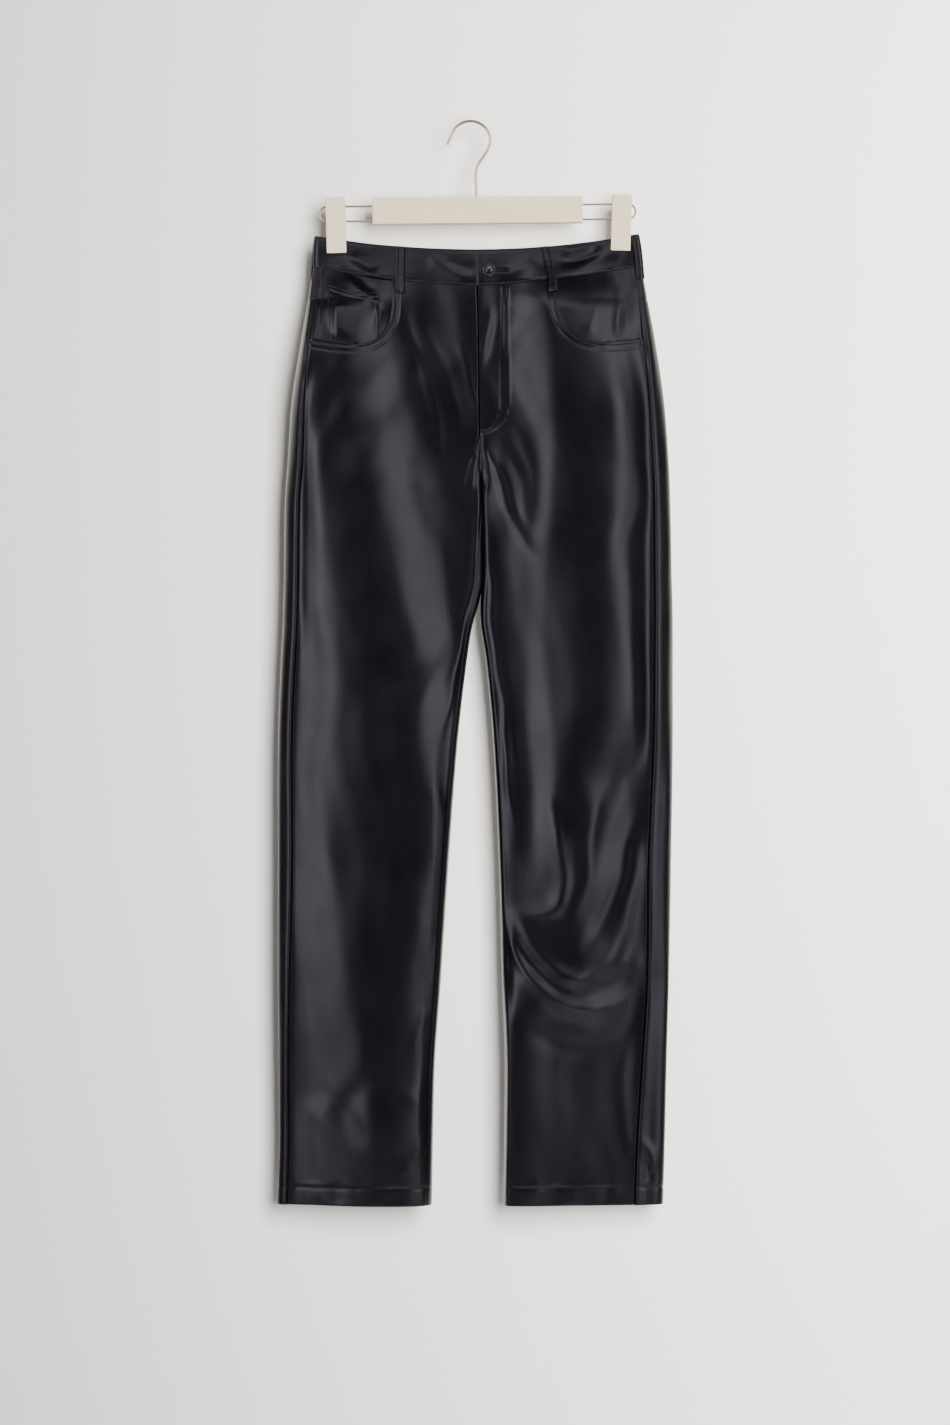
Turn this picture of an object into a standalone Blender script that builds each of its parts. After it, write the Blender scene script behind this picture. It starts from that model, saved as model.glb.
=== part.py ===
"""Faux leather trousers hanging by their waistband from a clip hanger.

The origin is the inner top of the hanger's hook. +Z is up, the garment's front faces -Y, and
"left" and "right" are the wearer's, so the wearer's right leg is at -X. All sizes are in
millimetres and are turned into metres where the meshes are made.
"""

import math
from collections import namedtuple

import bmesh
import bpy
from mathutils import Matrix, Vector

MM = 0.001
LEFT, RIGHT = 1, -1
SIDE_NAMES = {LEFT: "left", RIGHT: "right"}

# Cloth
CLOTH = 1.5            # wall of a panel
BAND = 2.4             # wall of the folded waistband
FACING = 1.0           # wall of the thin pieces inside the pocket mouths
LAYER_GAP = 0.3        # between two pieces that lie on each other
HIDDEN_GAP = 0.8       # between layers inside the pocket mouths
SEAM_GAP = 0.3         # between two pieces that meet edge to edge
ROUNDNESS = 2.5        # superellipse power of a hanging leg's section

# Heights
HEM = -1162.6
BAND_TOP_CENTRE = -138.7
BAND_TOP_SIDE = {LEFT: -119.9, RIGHT: -122.0}
BAND_SAG_POWER = 1.75
BAND_HEIGHT_CENTRE = 39.2
BAND_HEIGHT_SIDE = 35.0

# Levels down the cloth: -1 at the waistband's top, 0 at its seam, 1 at the hem
POCKET_LEVEL = 0.0785
FLY_END_LEVEL = 0.158
CROTCH_LEVEL = 0.2234
PARTING_START, PARTING_END = 0.04, 0.31   # away from the centre the legs part more gently
CROTCH_REACH = 0.5     # share of a half's width that the crotch seam's curve reaches over
YOKE_LEVEL_SIDE = 0.034
YOKE_LEVEL_CENTRE = 0.062

# The waist, pressed flat by the two clips
PINCH = 2.9            # outer face of the band to the middle plane, under the clips
EDGE_ROUND = 6.0       # how far in from the outer edge the pressed waist rounds over
PINCH_END = -142.0     # below the jaws the waist starts to open
PINCH_GONE = -240.0
CLIP_INNER_EDGE = {LEFT: 147.0, RIGHT: -135.0}
WAIST_CENTRE = 5.5
WAIST_HALF_WIDTH = 174.0

# x of the outer and inner edges of each leg (above the crotch the inner edges are the centre
# seam), the depth in front of and behind the middle plane, and how far in front the side seams
# lie from the outer edges
Section = namedtuple(
    "Section", "z right_edge right_inner left_inner left_edge front back right_seam left_seam"
)
SECTIONS = (
    Section(-119, -168.2, 5.5, 5.5, 179.0, 18, 17, 1.0, 5.4),
    Section(-156, -170.4, 6.3, 6.3, 183.0, 18, 18, 1.6, 5.6),
    Section(-191, -175.8, 7.2, 7.2, 189.4, 22, 24, 7.0, 8.6),
    Section(-234, -183.0, 8.2, 8.2, 197.4, 27, 31, 8.6, 12.0),
    Section(-298, -193.0, 9.0, 9.0, 206.9, 29, 35, 14.0, 16.5),
    Section(-363, -197.3, 9.8, 9.8, 212.0, 29, 35, 16.0, 18.0),
    Section(-406, -200.4, 11.0, 11.4, 213.8, 28, 32, 16.0, 18.3),
    Section(-492, -201.6, 11.8, 12.2, 215.5, 26, 28, 16.0, 19.5),
    Section(-516, -202.2, 8.2, 9.6, 216.2, 25.5, 27, 16.3, 20.0),
    Section(-540, -202.8, 1.2, 9.8, 216.6, 25, 26.5, 16.3, 20.5),
    Section(-578, -204.8, -4.8, 15.4, 216.6, 25, 26, 16.0, 21.0),
    Section(-664, -207.8, -14.5, 23.1, 216.6, 24, 25, 15.4, 21.8),
    Section(-793, -208.0, -24.2, 29.4, 214.7, 24, 24, 16.0, 25.0),
    Section(-922, -208.0, -32.8, 32.8, 212.3, 22, 22, 13.0, 24.3),
    Section(-1008, -207.2, -39.0, 35.6, 210.0, 21, 21, 10.8, 27.0),
    Section(-1094, -206.4, -41.2, 35.0, 208.0, 20, 20, 10.2, 30.6),
    Section(-1163, -208.8, -42.4, 33.8, 206.0, 20, 20, 10.8, 31.2),
)
INSEAM_LEVEL = 0.29    # from here down the right inseam shows in front of the inner edge
INSEAM_INSET = {LEFT: 0.0, RIGHT: 5.0}

# The large folds: the line that each ridge (height > 0) or trough (height < 0) follows
Fold = namedtuple("Fold", "width height line")
FRONT_FOLDS = (
    Fold(17, 4.5, ((-77, -196), (-55, -239), (-34, -298), (-28, -356))),
    Fold(21, 6.5, ((-96, -352), (-71, -427), (-50, -513), (-36, -610), (-37, -690), (-25, -777))),
    Fold(27, -5.5, ((-128, -300), (-122, -470), (-110, -640), (-92, -800), (-84, -910))),
    Fold(18, 4.0, ((-172, -340), (-174, -600), (-172, -800), (-164, -950), (-130, -1085))),
    Fold(18, -4.0, ((-108, -905), (-92, -1030), (-64, -1110))),
    Fold(15, 3.0, ((-70, -940), (-62, -1040))),
    Fold(9, 3.5, ((20, -352), (36, -406), (50, -452), (58, -500))),
    Fold(9, 3.5, ((38, -338), (52, -384), (61, -427), (74, -480))),
    Fold(15, 4.5, ((74, -440), (77, -560), (77, -664), (87, -750), (97, -805))),
    Fold(13, 5.0, ((97, -790), (100, -825), (86, -849), (62, -853), (34, -838))),
    Fold(25, -6.0, ((112, -300), (123, -450), (124, -620), (118, -720), (113, -800))),
    Fold(17, 4.5, ((160, -320), (166, -480), (166, -650), (146, -728), (132, -795), (96, -868))),
    Fold(16, 4.0, ((192, -740), (182, -836), (164, -902), (126, -954))),
    Fold(12, 3.5, ((32, -842), (56, -866), (80, -900), (108, -920), (140, -930))),
    Fold(16, 2.5, ((170, -990), (178, -1080), (186, -1150))),
)
BACK_FOLDS = (
    Fold(20, 5.0, ((-30, -300), (-66, -360), (-110, -410), (-160, -440))),
    Fold(20, 5.0, ((36, -306), (76, -372), (122, -424), (172, -452))),
    Fold(16, -4.0, ((-26, -352), (-62, -410), (-100, -452), (-140, -476))),
    Fold(16, -4.0, ((34, -360), (70, -420), (108, -462), (150, -488))),
    Fold(22, 5.0, ((-150, -470), (-148, -620), (-124, -760))),
    Fold(24, -5.0, ((-98, -500), (-92, -660), (-88, -780))),
    Fold(22, 5.0, ((158, -480), (160, -640), (140, -770))),
    Fold(24, -5.0, ((104, -500), (110, -650), (112, -780))),
    Fold(14, 4.5, ((-40, -770), (-90, -812), (-150, -800), (-186, -760))),
    Fold(14, 4.5, ((46, -790), (96, -836), (150, -822), (194, -780))),
    Fold(18, -3.5, ((-120, -850), (-110, -980), (-116, -1100))),
    Fold(18, -3.5, ((128, -870), (116, -1000), (118, -1110))),
)

# Pocket mouths: where the scooped edge starts at the waist seam, and its superellipse power
Scoop = namedtuple("Scoop", "start_x power")
SCOOPS = {RIGHT: Scoop(-85.5, 3.7), LEFT: Scoop(91.9, 3.0)}
SCOOP_UNDERLAP = 13.0
SCOOP_UNDERLAP_LEVEL = 0.013
MOUTH_FLUSH, MOUTH_DEEP = 0.62, 0.9   # shares of the way from the side seam to the mouth's edge
COIN_POCKET_X = (-153.0, -100.0)
COIN_POCKET_LEVELS = (0.012, 0.084)

# Grids
FRONT_COLUMNS = 14
BACK_COLUMNS = 12
SCOOP_ROWS = 10
LEVELS_TO_CROTCH = (0.104, 0.131, FLY_END_LEVEL, 0.182, 0.202, 0.2155, CROTCH_LEVEL)
LEVELS_TO_HEM = (0.238, 0.262, INSEAM_LEVEL, 0.325, 0.36, 0.40, 0.445, 0.49, 0.535, 0.58,
                 0.625, 0.67, 0.715, 0.76, 0.81, 0.86, 0.91, 0.96, 1.0)
BAND_EDGE_STEPS = (0.0, 0.5, 1.5, 3.2, 6.0, 9.5, 14.0, 24.0, 36.0, 50.0, 70.0, 95.0, 120.0, 145.0)
BAND_LEVELS = (-1.0, -0.66, -0.33, 0.0)
TAB_X = (13.0, 21.0, 30.0)

# Belt loops
LOOP_WIDTH = 10.0
LOOP_WALL = 1.8
LOOP_LIFT = 0.7        # clearance of a loop's sewn ends over the band
LOOP_ARCH = 1.4        # how much more its middle stands off
LOOP_LEVELS = (-1.0, -0.8, -0.5, -0.2, 0.0, 0.014)
LOOP_X = {RIGHT: (-75.8, -75.8), LEFT: (79.0, 86.0)}  # x at the top and at the bottom
LOOP_BACK_X = 5.5
SIDE_LOOP_EDGE_STEPS = (9.3, 5.0, 2.0, 0.4)  # in from the outer edge

# Button
BUTTON_X, BUTTON_Z = 18.8, -161.3
BUTTON_RADIUS = 7.3
BUTTON_HEIGHT = 3.2
BUTTON_LIFT = 0.9      # of its rim over the band
SHANK_RADIUS = 2.2
HOLE_RADIUS = 2.8
SLIT_LENGTH = 20.0
SLIT_HEIGHT = 1.2

# Hanger, in its own upright frame before it hangs tilted
HANGER_X = 5.7
HANGER_TILT = math.radians(0.5)
HOOK_WIRE = 3.3
HOOK_CENTRE = (-1.2, -19.7)
HOOK_RADIUS = 21.35
HOOK_TIP_ANGLE = 150
HOOK_TURN_ANGLE = -14
HOOK_TIP = (-26.4, -23.9)
HOOK_LOWER_LINE = ((16.6, -31.0), (10.3, -39.9), (5.9, -46.8), (4.0, -54.0), (4.0, -62.0))
STEM_X = 4.4
BAR_SIZE = (226.0, 10.0, 28.3)
BAR_TOP = -80.7
BAR_BEVEL = 1.0
STEM_DEPTH = 14.0
WIRE = 2.2
WIRE_HEIGHTS = (-89.2, -105.2)
WIRE_REACH = 171.0     # end of each wire loop from the hanger's middle
WIRE_DEPTH = 12.0
SOCKET_CLEARANCE = 0.3

# Clips
CLIP_WIDTH = 21.0
CLIP_TOP, CLIP_BOTTOM = -79.8, -139.7
CLIP_X = {RIGHT: -146.6, LEFT: 160.0}
CLIP_TILT = {RIGHT: math.radians(1.0), LEFT: math.radians(-2.2)}
JAW_GAP = 3.2          # inner face of a jaw to the middle plane, on the cloth
JAW_WALL = 2.4
JAW_FLARE = 2.2        # how much further apart the finger ends stand
JAW_BEND_HEIGHT = -114.0
CORE_WIDTH = 17.0
CORE_HALF_DEPTH = 2.9
CORE_TOP, CORE_BOTTOM = -83.0, -112.0


# ---------------------------------------------------------------- the cloth's surface

def smooth(value):
    value = min(max(value, 0.0), 1.0)
    return value * value * (3 - 2 * value)


def mix(first, second, share):
    return first + (second - first) * share


def power(value, exponent):
    return math.copysign(abs(value) ** exponent, value)


def between(rows, low, z):
    """Each column at height z on a cubic curve through the rows around row `low`."""
    before, upper, lower, after = (
        rows[max(low - 2, 0)], rows[low - 1], rows[low], rows[min(low + 1, len(rows) - 1)]
    )
    step = lower.z - upper.z
    t = (z - upper.z) / step
    values = []
    for column in range(1, len(upper)):
        slope_up = (lower[column] - before[column]) / (lower.z - before.z) * step
        slope_down = (after[column] - upper[column]) / (after.z - upper.z) * step
        values.append(
            (2 * t**3 - 3 * t**2 + 1) * upper[column]
            + (t**3 - 2 * t**2 + t) * slope_up
            + (3 * t**2 - 2 * t**3) * lower[column]
            + (t**3 - t**2) * slope_down
        )
    return Section(z, *values)


def section(z):
    z = min(max(z, SECTIONS[-1].z), SECTIONS[0].z)
    low = next(row for row in range(1, len(SECTIONS)) if SECTIONS[row].z <= z)
    return between(SECTIONS, low, z)


def leg_edges(side, z):
    """The x of a leg's outer edge and of its inner edge or centre seam."""
    row = section(z)
    if side == LEFT:
        return row.left_edge, row.left_inner
    return row.right_edge, row.right_inner


def seam_height(x):
    """The waist seam, lower in the middle than over the clips."""
    off_centre = min(abs(x - WAIST_CENTRE) / WAIST_HALF_WIDTH, 1.0)
    return band_top(x) - mix(BAND_HEIGHT_CENTRE, BAND_HEIGHT_SIDE, off_centre)


def band_top(x):
    side = LEFT if x > WAIST_CENTRE else RIGHT
    off_centre = min(abs(x - WAIST_CENTRE) / WAIST_HALF_WIDTH, 1.0)
    return mix(BAND_TOP_CENTRE, BAND_TOP_SIDE[side], off_centre ** BAND_SAG_POWER)


def height(x, level):
    seam = seam_height(x)
    if level < 0:
        return mix(seam, band_top(x), -level)
    return mix(seam, HEM, level)


def level_of(x, z):
    seam = seam_height(x)
    if z > seam:
        return -(z - seam) / (band_top(x) - seam)
    return (seam - z) / (seam - HEM)


def closing(level):
    """0 where the front and back run on to the centre seam, 1 where each leg is a tube."""
    drop = (level - FLY_END_LEVEL) / (CROTCH_LEVEL - FLY_END_LEVEL)
    drop = min(max(drop, 0.0), 1.0)
    return 1 - math.sqrt(1 - drop * drop)


def nearest_on_line(line, x, z):
    """The distance of (x, z) from a broken line, and how far along it (0 to 1) it is nearest."""
    lengths = [math.dist(line[i], line[i + 1]) for i in range(len(line) - 1)]
    best = (math.inf, 0.0)
    run = 0.0
    for (ax, az), (bx, bz), length in zip(line, line[1:], lengths):
        along = ((x - ax) * (bx - ax) + (z - az) * (bz - az)) / length**2
        along = min(max(along, 0.0), 1.0)
        distance = math.dist((x, z), (mix(ax, bx, along), mix(az, bz, along)))
        best = min(best, (distance, run + along * length))
        run += length
    return best[0], best[1] / run


def fold_height(folds, x, z):
    total = 0.0
    for fold in folds:
        distance, along = nearest_on_line(fold.line, x, z)
        if distance < 3 * fold.width:
            fade = smooth(along * 5) * smooth((1 - along) * 5)
            total += fold.height * fade * math.exp(-(distance / fold.width) ** 2)
    return total


def pressed_depth(side, x, edge, depth, inset):
    """How far the pressed waist stands off the middle plane."""
    from_edge = abs(edge - x)
    flat = PINCH - inset
    turn = EDGE_ROUND - inset
    if from_edge < turn:
        return flat * math.sqrt(max(1 - (1 - from_edge / turn) ** 2, 0.0))
    clip = CLIP_INNER_EDGE[side]
    return flat + (depth - PINCH) * smooth((x - clip) / (WAIST_CENTRE - clip))


def surface(side, angle, level, inset=0.0):
    """A point of the cloth, in mm.

    angle 0 is the outer edge, pi the centre seam or inner edge over the front, and -pi the
    same over the back. inset is how far the point lies inside the outer face.
    """
    closed = closing(level)
    across = power(math.cos(angle), 2 / ROUNDNESS)
    x = side * 90.0
    for _ in range(5):
        z = height(x, level)
        outer, inner = leg_edges(side, z)
        edge = outer - side * inset
        inner_edge = inner + side * inset * closed
        x = (edge + inner_edge) / 2 + across * (edge - inner_edge) / 2
    row = section(z)
    in_front = math.sin(angle) >= 0
    full = row.front if in_front else row.back
    leg_shape = abs(math.sin(angle)) ** (2 / ROUNDNESS)
    off_centre = min(abs(x - inner) / abs(edge - inner), 1.0)
    body_shape = (1 - off_centre**ROUNDNESS) ** (1 / ROUNDNESS)
    near_centre = smooth(1 - off_centre / CROTCH_REACH)
    parting = smooth((level - PARTING_START) / (PARTING_END - PARTING_START))
    shape = mix(body_shape, leg_shape, mix(parting, closed, near_centre))
    free = (full - inset) * shape
    release = smooth((PINCH_END - z) / (PINCH_END - PINCH_GONE))
    depth = mix(pressed_depth(side, x, edge, full, inset), free, release)
    near_edge = 1 - smooth(1.6 * abs(math.sin(angle)))
    hold = near_edge if math.cos(angle) > 0 else near_edge * closed
    folds = fold_height(FRONT_FOLDS if in_front else BACK_FOLDS, x, z) * (1 - hold)
    if in_front:
        return Vector((x, -depth - folds, z))
    return Vector((x, depth + folds, z))


def angle_at_x(side, level, x):
    """The angle over the front at which the surface passes x."""
    outer, inner = leg_edges(side, height(x, level))
    across = (2 * x - outer - inner) / (outer - inner)
    across = min(max(across, -1.0), 1.0)
    return math.acos(power(across, ROUNDNESS / 2))


def angle_at_edge(side, level, from_edge):
    """The angle over the front, a distance in from the outer edge."""
    x = side * 180.0
    for _ in range(4):
        outer, _inner = leg_edges(side, height(x, level))
        x = outer - side * from_edge
    return angle_at_x(side, level, x)


def side_seam_angle(side, level):
    z = height(side * 180.0, level)
    row = section(z)
    return angle_at_edge(side, level, row.left_seam if side == LEFT else row.right_seam)


def inseam_angle(side, level):
    shown = smooth((level - CROTCH_LEVEL) / (INSEAM_LEVEL - CROTCH_LEVEL))
    inset = INSEAM_INSET[side] * shown
    if inset == 0:
        return math.pi
    _outer, inner = leg_edges(side, height(side * 40.0, level))
    return angle_at_x(side, level, inner + side * inset)


# ---------------------------------------------------------------- making solids

def material(name, rgb, roughness, metallic=0.0):
    made = bpy.data.materials.new(name)
    made.use_nodes = True
    shader = made.node_tree.nodes["Principled BSDF"]
    shader.inputs["Base Color"].default_value = (*rgb, 1.0)
    shader.inputs["Roughness"].default_value = roughness
    shader.inputs["Metallic"].default_value = metallic
    return made


def add_object(name, bm, finish, smooth_angle=None):
    """Writes a bmesh in millimetres to a new object in metres."""
    bmesh.ops.scale(bm, vec=(MM, MM, MM), verts=bm.verts)
    bmesh.ops.recalc_face_normals(bm, faces=bm.faces)
    mesh = bpy.data.meshes.new(name)
    bm.to_mesh(mesh)
    bm.free()
    mesh.materials.append(finish)
    if smooth_angle is not None:
        mesh.shade_smooth()
        mesh.set_sharp_from_angle(angle=math.radians(smooth_angle))
    obj = bpy.data.objects.new(name, mesh)
    bpy.context.scene.collection.objects.link(obj)
    return obj


def pull_in_borders(grid, distance):
    """Moves a grid's border points towards their inner neighbours, to leave a gap at seams."""
    def towards(point, neighbour):
        return point + (neighbour - point).normalized() * distance

    rows = [list(row) for row in grid]
    for row in rows:
        row[0], row[-1] = towards(row[0], row[1]), towards(row[-1], row[-2])
    for column in range(len(rows[0])):
        rows[0][column] = towards(rows[0][column], rows[1][column])
        rows[-1][column] = towards(rows[-1][column], rows[-2][column])
    return rows


def shell(name, point, columns, rows, wall, finish):
    """A cloth wall between two grids. point(column, row, inset) gives a point in mm."""
    bm = bmesh.new()
    faces = []
    for inset in (0.0, wall):
        grid = [[point(c, r, inset) for c in range(columns)] for r in range(rows)]
        grid = pull_in_borders(grid, SEAM_GAP / 2)
        faces.append([[bm.verts.new(p) for p in row] for row in grid])
    outer, inner = faces
    for r in range(rows - 1):
        for c in range(columns - 1):
            bm.faces.new((outer[r][c], outer[r][c + 1], outer[r + 1][c + 1], outer[r + 1][c]))
            bm.faces.new((inner[r][c], inner[r + 1][c], inner[r + 1][c + 1], inner[r][c + 1]))
    border = [(0, c) for c in range(columns)]
    border += [(r, columns - 1) for r in range(1, rows)]
    border += [(rows - 1, c) for c in range(columns - 2, -1, -1)]
    border += [(r, 0) for r in range(rows - 2, 0, -1)]
    for (r, c), (r2, c2) in zip(border, border[1:] + border[:1]):
        bm.faces.new((outer[r][c], inner[r][c], inner[r2][c2], outer[r2][c2]))
    return add_object(name, bm, finish, smooth_angle=50)


def cut(obj, cutter):
    cutter.hide_render = True
    cutter.display_type = "WIRE"
    boolean = obj.modifiers.new("cut", "BOOLEAN")
    boolean.operation = "DIFFERENCE"
    boolean.solver = "EXACT"
    boolean.object = cutter


# ---------------------------------------------------------------- cloth pieces

def scoop_corner(power_of_curve, steps):
    """Evenly spaced (across, down) shares along a quarter superellipse, from (1, 0) to (0, 1)."""
    fine = 200
    turns = [math.pi / 2 * step / fine for step in range(fine + 1)]
    exponent = 2 / power_of_curve
    curve = [(max(math.cos(t), 0.0) ** exponent, math.sin(t) ** exponent) for t in turns]
    run = [0.0]
    for first, second in zip(curve, curve[1:]):
        run.append(run[-1] + math.dist(first, second))
    wanted = [run[-1] * step / steps for step in range(steps + 1)]
    return [min(zip(run, curve), key=lambda item: abs(item[0] - goal))[1] for goal in wanted]


def front_panel(side, finish):
    """The leg's front, whose outer edge is first the pocket mouth and then the side seam."""
    scoop = SCOOPS[side]
    left_edge, right_edge = [], []
    for step, (across, down) in enumerate(scoop_corner(scoop.power, SCOOP_ROWS)):
        level = POCKET_LEVEL * down
        seam_x = surface(side, side_seam_angle(side, level), level).x
        left_edge.append((angle_at_x(side, level, mix(seam_x, scoop.start_x, across)), level))
        right_edge.append((math.pi, POCKET_LEVEL * step / SCOOP_ROWS))
    for level in LEVELS_TO_CROTCH + LEVELS_TO_HEM:
        left_edge.append((side_seam_angle(side, level), level))
        right_edge.append((inseam_angle(side, level), level))

    def point(column, row, inset):
        share = column / (FRONT_COLUMNS - 1)
        angle = mix(left_edge[row][0], right_edge[row][0], share)
        level = mix(right_edge[row][1], left_edge[row][1], (1 - share) ** 1.5)
        return surface(side, angle, level, inset)

    name = "front_" + SIDE_NAMES[side]
    return shell(name, point, FRONT_COLUMNS, len(left_edge), CLOTH, finish)


def yoke_level(angle):
    return mix(YOKE_LEVEL_SIDE, YOKE_LEVEL_CENTRE, (1 - math.cos(angle)) / 2)


def back_angle(side, level, share):
    """From the side seam, round the outer edge, over the back to the centre seam or inseam."""
    return mix(side_seam_angle(side, level), inseam_angle(side, level) - 2 * math.pi, share)


def back_panel(side, finish):
    levels = (None, POCKET_LEVEL) + LEVELS_TO_CROTCH + LEVELS_TO_HEM

    def point(column, row, inset):
        share = column / (BACK_COLUMNS - 1)
        level = levels[row]
        if level is None:
            level = yoke_level(back_angle(side, YOKE_LEVEL_CENTRE, share))
        return surface(side, back_angle(side, level, share), level, inset)

    name = "back_" + SIDE_NAMES[side]
    return shell(name, point, BACK_COLUMNS, len(levels), CLOTH, finish)


def yoke(side, finish):
    rows = 3

    def point(column, row, inset):
        share = column / (BACK_COLUMNS - 1)
        lowest = yoke_level(back_angle(side, YOKE_LEVEL_CENTRE, share))
        level = lowest * row / (rows - 1)
        return surface(side, back_angle(side, level, share), level, inset)

    return shell("yoke_" + SIDE_NAMES[side], point, BACK_COLUMNS, rows, CLOTH, finish)


def waistband(side, finish):
    """From the front centre round the side to the back centre; the right one has the tab."""
    middle_level = -0.5
    over_front = [angle_at_edge(side, middle_level, step) for step in BAND_EDGE_STEPS[:0:-1]]
    under_overlap = [angle_at_x(LEFT, middle_level, x) for x in TAB_X]
    if side == RIGHT:
        columns = [(LEFT, angle, BAND + LAYER_GAP) for angle in reversed(under_overlap)]
        columns += [(RIGHT, math.pi, BAND + LAYER_GAP), (RIGHT, math.pi - 0.3, 0.0)]
    else:
        columns = [(LEFT, angle, 0.0) for angle in (math.pi, *under_overlap)]
    columns += [(side, angle, 0.0) for angle in over_front]
    columns += [(side, 0.0, 0.0)]
    columns += [(side, -angle, 0.0) for angle in reversed(over_front)]
    columns += [(side, -math.pi, 0.0)]

    def point(column, row, inset):
        on_side, angle, depth = columns[column]
        return surface(on_side, angle, BAND_LEVELS[row], depth + inset)

    name = "waistband_" + SIDE_NAMES[side]
    return shell(name, point, len(columns), len(BAND_LEVELS), BAND, finish)


def facing_depth(side, x, level):
    """Flush with its seams in the open mouth, and behind the front panel from its edge on."""
    scoop = SCOOPS[side]
    seam_x = surface(side, side_seam_angle(side, level), level).x
    across = max((x - seam_x) / (scoop.start_x - seam_x), 0.0)
    reach = (across**scoop.power + (level / POCKET_LEVEL) ** scoop.power) ** (1 / scoop.power)
    deepest = CLOTH + HIDDEN_GAP
    if side == RIGHT:
        deepest += FACING + HIDDEN_GAP
    return deepest * smooth((reach - MOUTH_FLUSH) / (MOUTH_DEEP - MOUTH_FLUSH))


def pocket_facing(side, finish):
    """Fills the pocket mouth and runs on a little behind the front panel."""
    columns, rows = 11, 8
    inner_x = SCOOPS[side].start_x - side * SCOOP_UNDERLAP
    lowest = POCKET_LEVEL + SCOOP_UNDERLAP_LEVEL

    def point(column, row, inset):
        level = lowest * row / (rows - 1)
        share = column / (columns - 1)
        angle = mix(side_seam_angle(side, level), angle_at_x(side, level, inner_x), share)
        depth = facing_depth(side, surface(side, angle, level).x, level)
        return surface(side, angle, level, depth + inset)

    return shell("pocket_facing_" + SIDE_NAMES[side], point, columns, rows, FACING, finish)


def coin_pocket(finish):
    columns, rows = 6, 8

    def point(column, row, inset):
        level = mix(*COIN_POCKET_LEVELS, row / (rows - 1))
        x = mix(*COIN_POCKET_X, column / (columns - 1))
        depth = facing_depth(RIGHT, x, level) - FACING - HIDDEN_GAP
        return surface(RIGHT, angle_at_x(RIGHT, level, x), level, depth + inset)

    return shell("coin_pocket", point, columns, rows, FACING, finish)


def belt_loop(name, side, angles_at, finish):
    """A strip over the band, whose middle stands off. angles_at(level) lists its columns."""
    columns = len(angles_at(0.0))
    top, bottom = LOOP_LEVELS[0], LOOP_LEVELS[-1]

    def point(column, row, inset):
        level = LOOP_LEVELS[row]
        along = (level - top) / (bottom - top)
        stand_off = LOOP_LIFT + LOOP_ARCH * math.sin(math.pi * along)
        angle = angles_at(level)[column]
        return surface(side, angle, level, inset - stand_off - LOOP_WALL)

    return shell(name, point, columns, len(LOOP_LEVELS), LOOP_WALL, finish)


def belt_loops(finish):
    def straight(side, x_top, x_bottom, face):
        def angles_at(level):
            share = min(max(level + 1, 0.0), 1.0)
            x = mix(x_top, x_bottom, share)
            ends = (x + side * LOOP_WIDTH / 2, x, x - side * LOOP_WIDTH / 2)
            return [face * angle_at_x(side, level, end) for end in ends]
        return angles_at

    def over_edge(side, face):
        def angles_at(level):
            return [face * angle_at_edge(side, level, step) for step in SIDE_LOOP_EDGE_STEPS]
        return angles_at

    for side in (LEFT, RIGHT):
        name = "belt_loop_front_" + SIDE_NAMES[side]
        belt_loop(name, side, straight(side, *LOOP_X[side], 1), finish)
    belt_loop("belt_loop_side_left", LEFT, over_edge(LEFT, 1), finish)
    belt_loop("belt_loop_side_right", RIGHT, over_edge(RIGHT, -1), finish)
    back_x = LOOP_BACK_X + 1.6 + LOOP_WIDTH / 2
    belt_loop("belt_loop_back", LEFT, straight(LEFT, back_x, back_x, -1), finish)


# ---------------------------------------------------------------- button

def button(band, finish):
    """A domed button whose shank passes through the band's buttonhole to the tab."""
    level = level_of(BUTTON_X, BUTTON_Z)
    face, beside = (surface(LEFT, angle_at_x(LEFT, level, x), level)
                    for x in (BUTTON_X, BUTTON_X + BUTTON_RADIUS))
    slope = math.atan2(beside.y - face.y, BUTTON_RADIUS)
    place = Matrix.Translation((BUTTON_X, face.y, BUTTON_Z)) @ Matrix.Rotation(slope, 4, "Z")
    back = -BUTTON_LIFT
    profile = (
        (0.0, BAND), (SHANK_RADIUS, BAND), (SHANK_RADIUS, back), (BUTTON_RADIUS - 0.8, back),
        (BUTTON_RADIUS, back - 0.8), (BUTTON_RADIUS - 0.3, back - 1.6),
        (BUTTON_RADIUS - 1.6, back - 2.4), (BUTTON_RADIUS * 0.45, back - BUTTON_HEIGHT + 0.2),
        (0.0, back - BUTTON_HEIGHT),
    )
    bm = bmesh.new()
    points = [bm.verts.new((radius, y, 0.0)) for radius, y in profile]
    edges = [bm.edges.new(pair) for pair in zip(points, points[1:])]
    bmesh.ops.spin(bm, geom=points + edges, cent=(0, 0, 0), axis=(0, 1, 0), angle=2 * math.pi,
                   steps=24, use_merge=True)
    bmesh.ops.remove_doubles(bm, verts=bm.verts, dist=0.001)
    bmesh.ops.transform(bm, matrix=place, verts=bm.verts)
    add_object("button", bm, finish, smooth_angle=40)

    bm = bmesh.new()
    round_end = [
        (HOLE_RADIUS * math.cos(turn), HOLE_RADIUS * math.sin(turn))
        for turn in (math.radians(step) for step in range(20, 341, 20))
    ]
    outline = round_end + [(SLIT_LENGTH, -SLIT_HEIGHT / 2), (SLIT_LENGTH, SLIT_HEIGHT / 2)]
    bottom = bm.faces.new([bm.verts.new((x, -2 * BAND, z)) for x, z in outline])
    pushed = bmesh.ops.extrude_face_region(bm, geom=[bottom])
    moved = [item for item in pushed["geom"] if isinstance(item, bmesh.types.BMVert)]
    bmesh.ops.translate(bm, vec=(0, 4 * BAND, 0), verts=moved)
    bmesh.ops.transform(bm, matrix=place, verts=bm.verts)
    cut(band, add_object("buttonhole_cutter", bm, finish))


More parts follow.
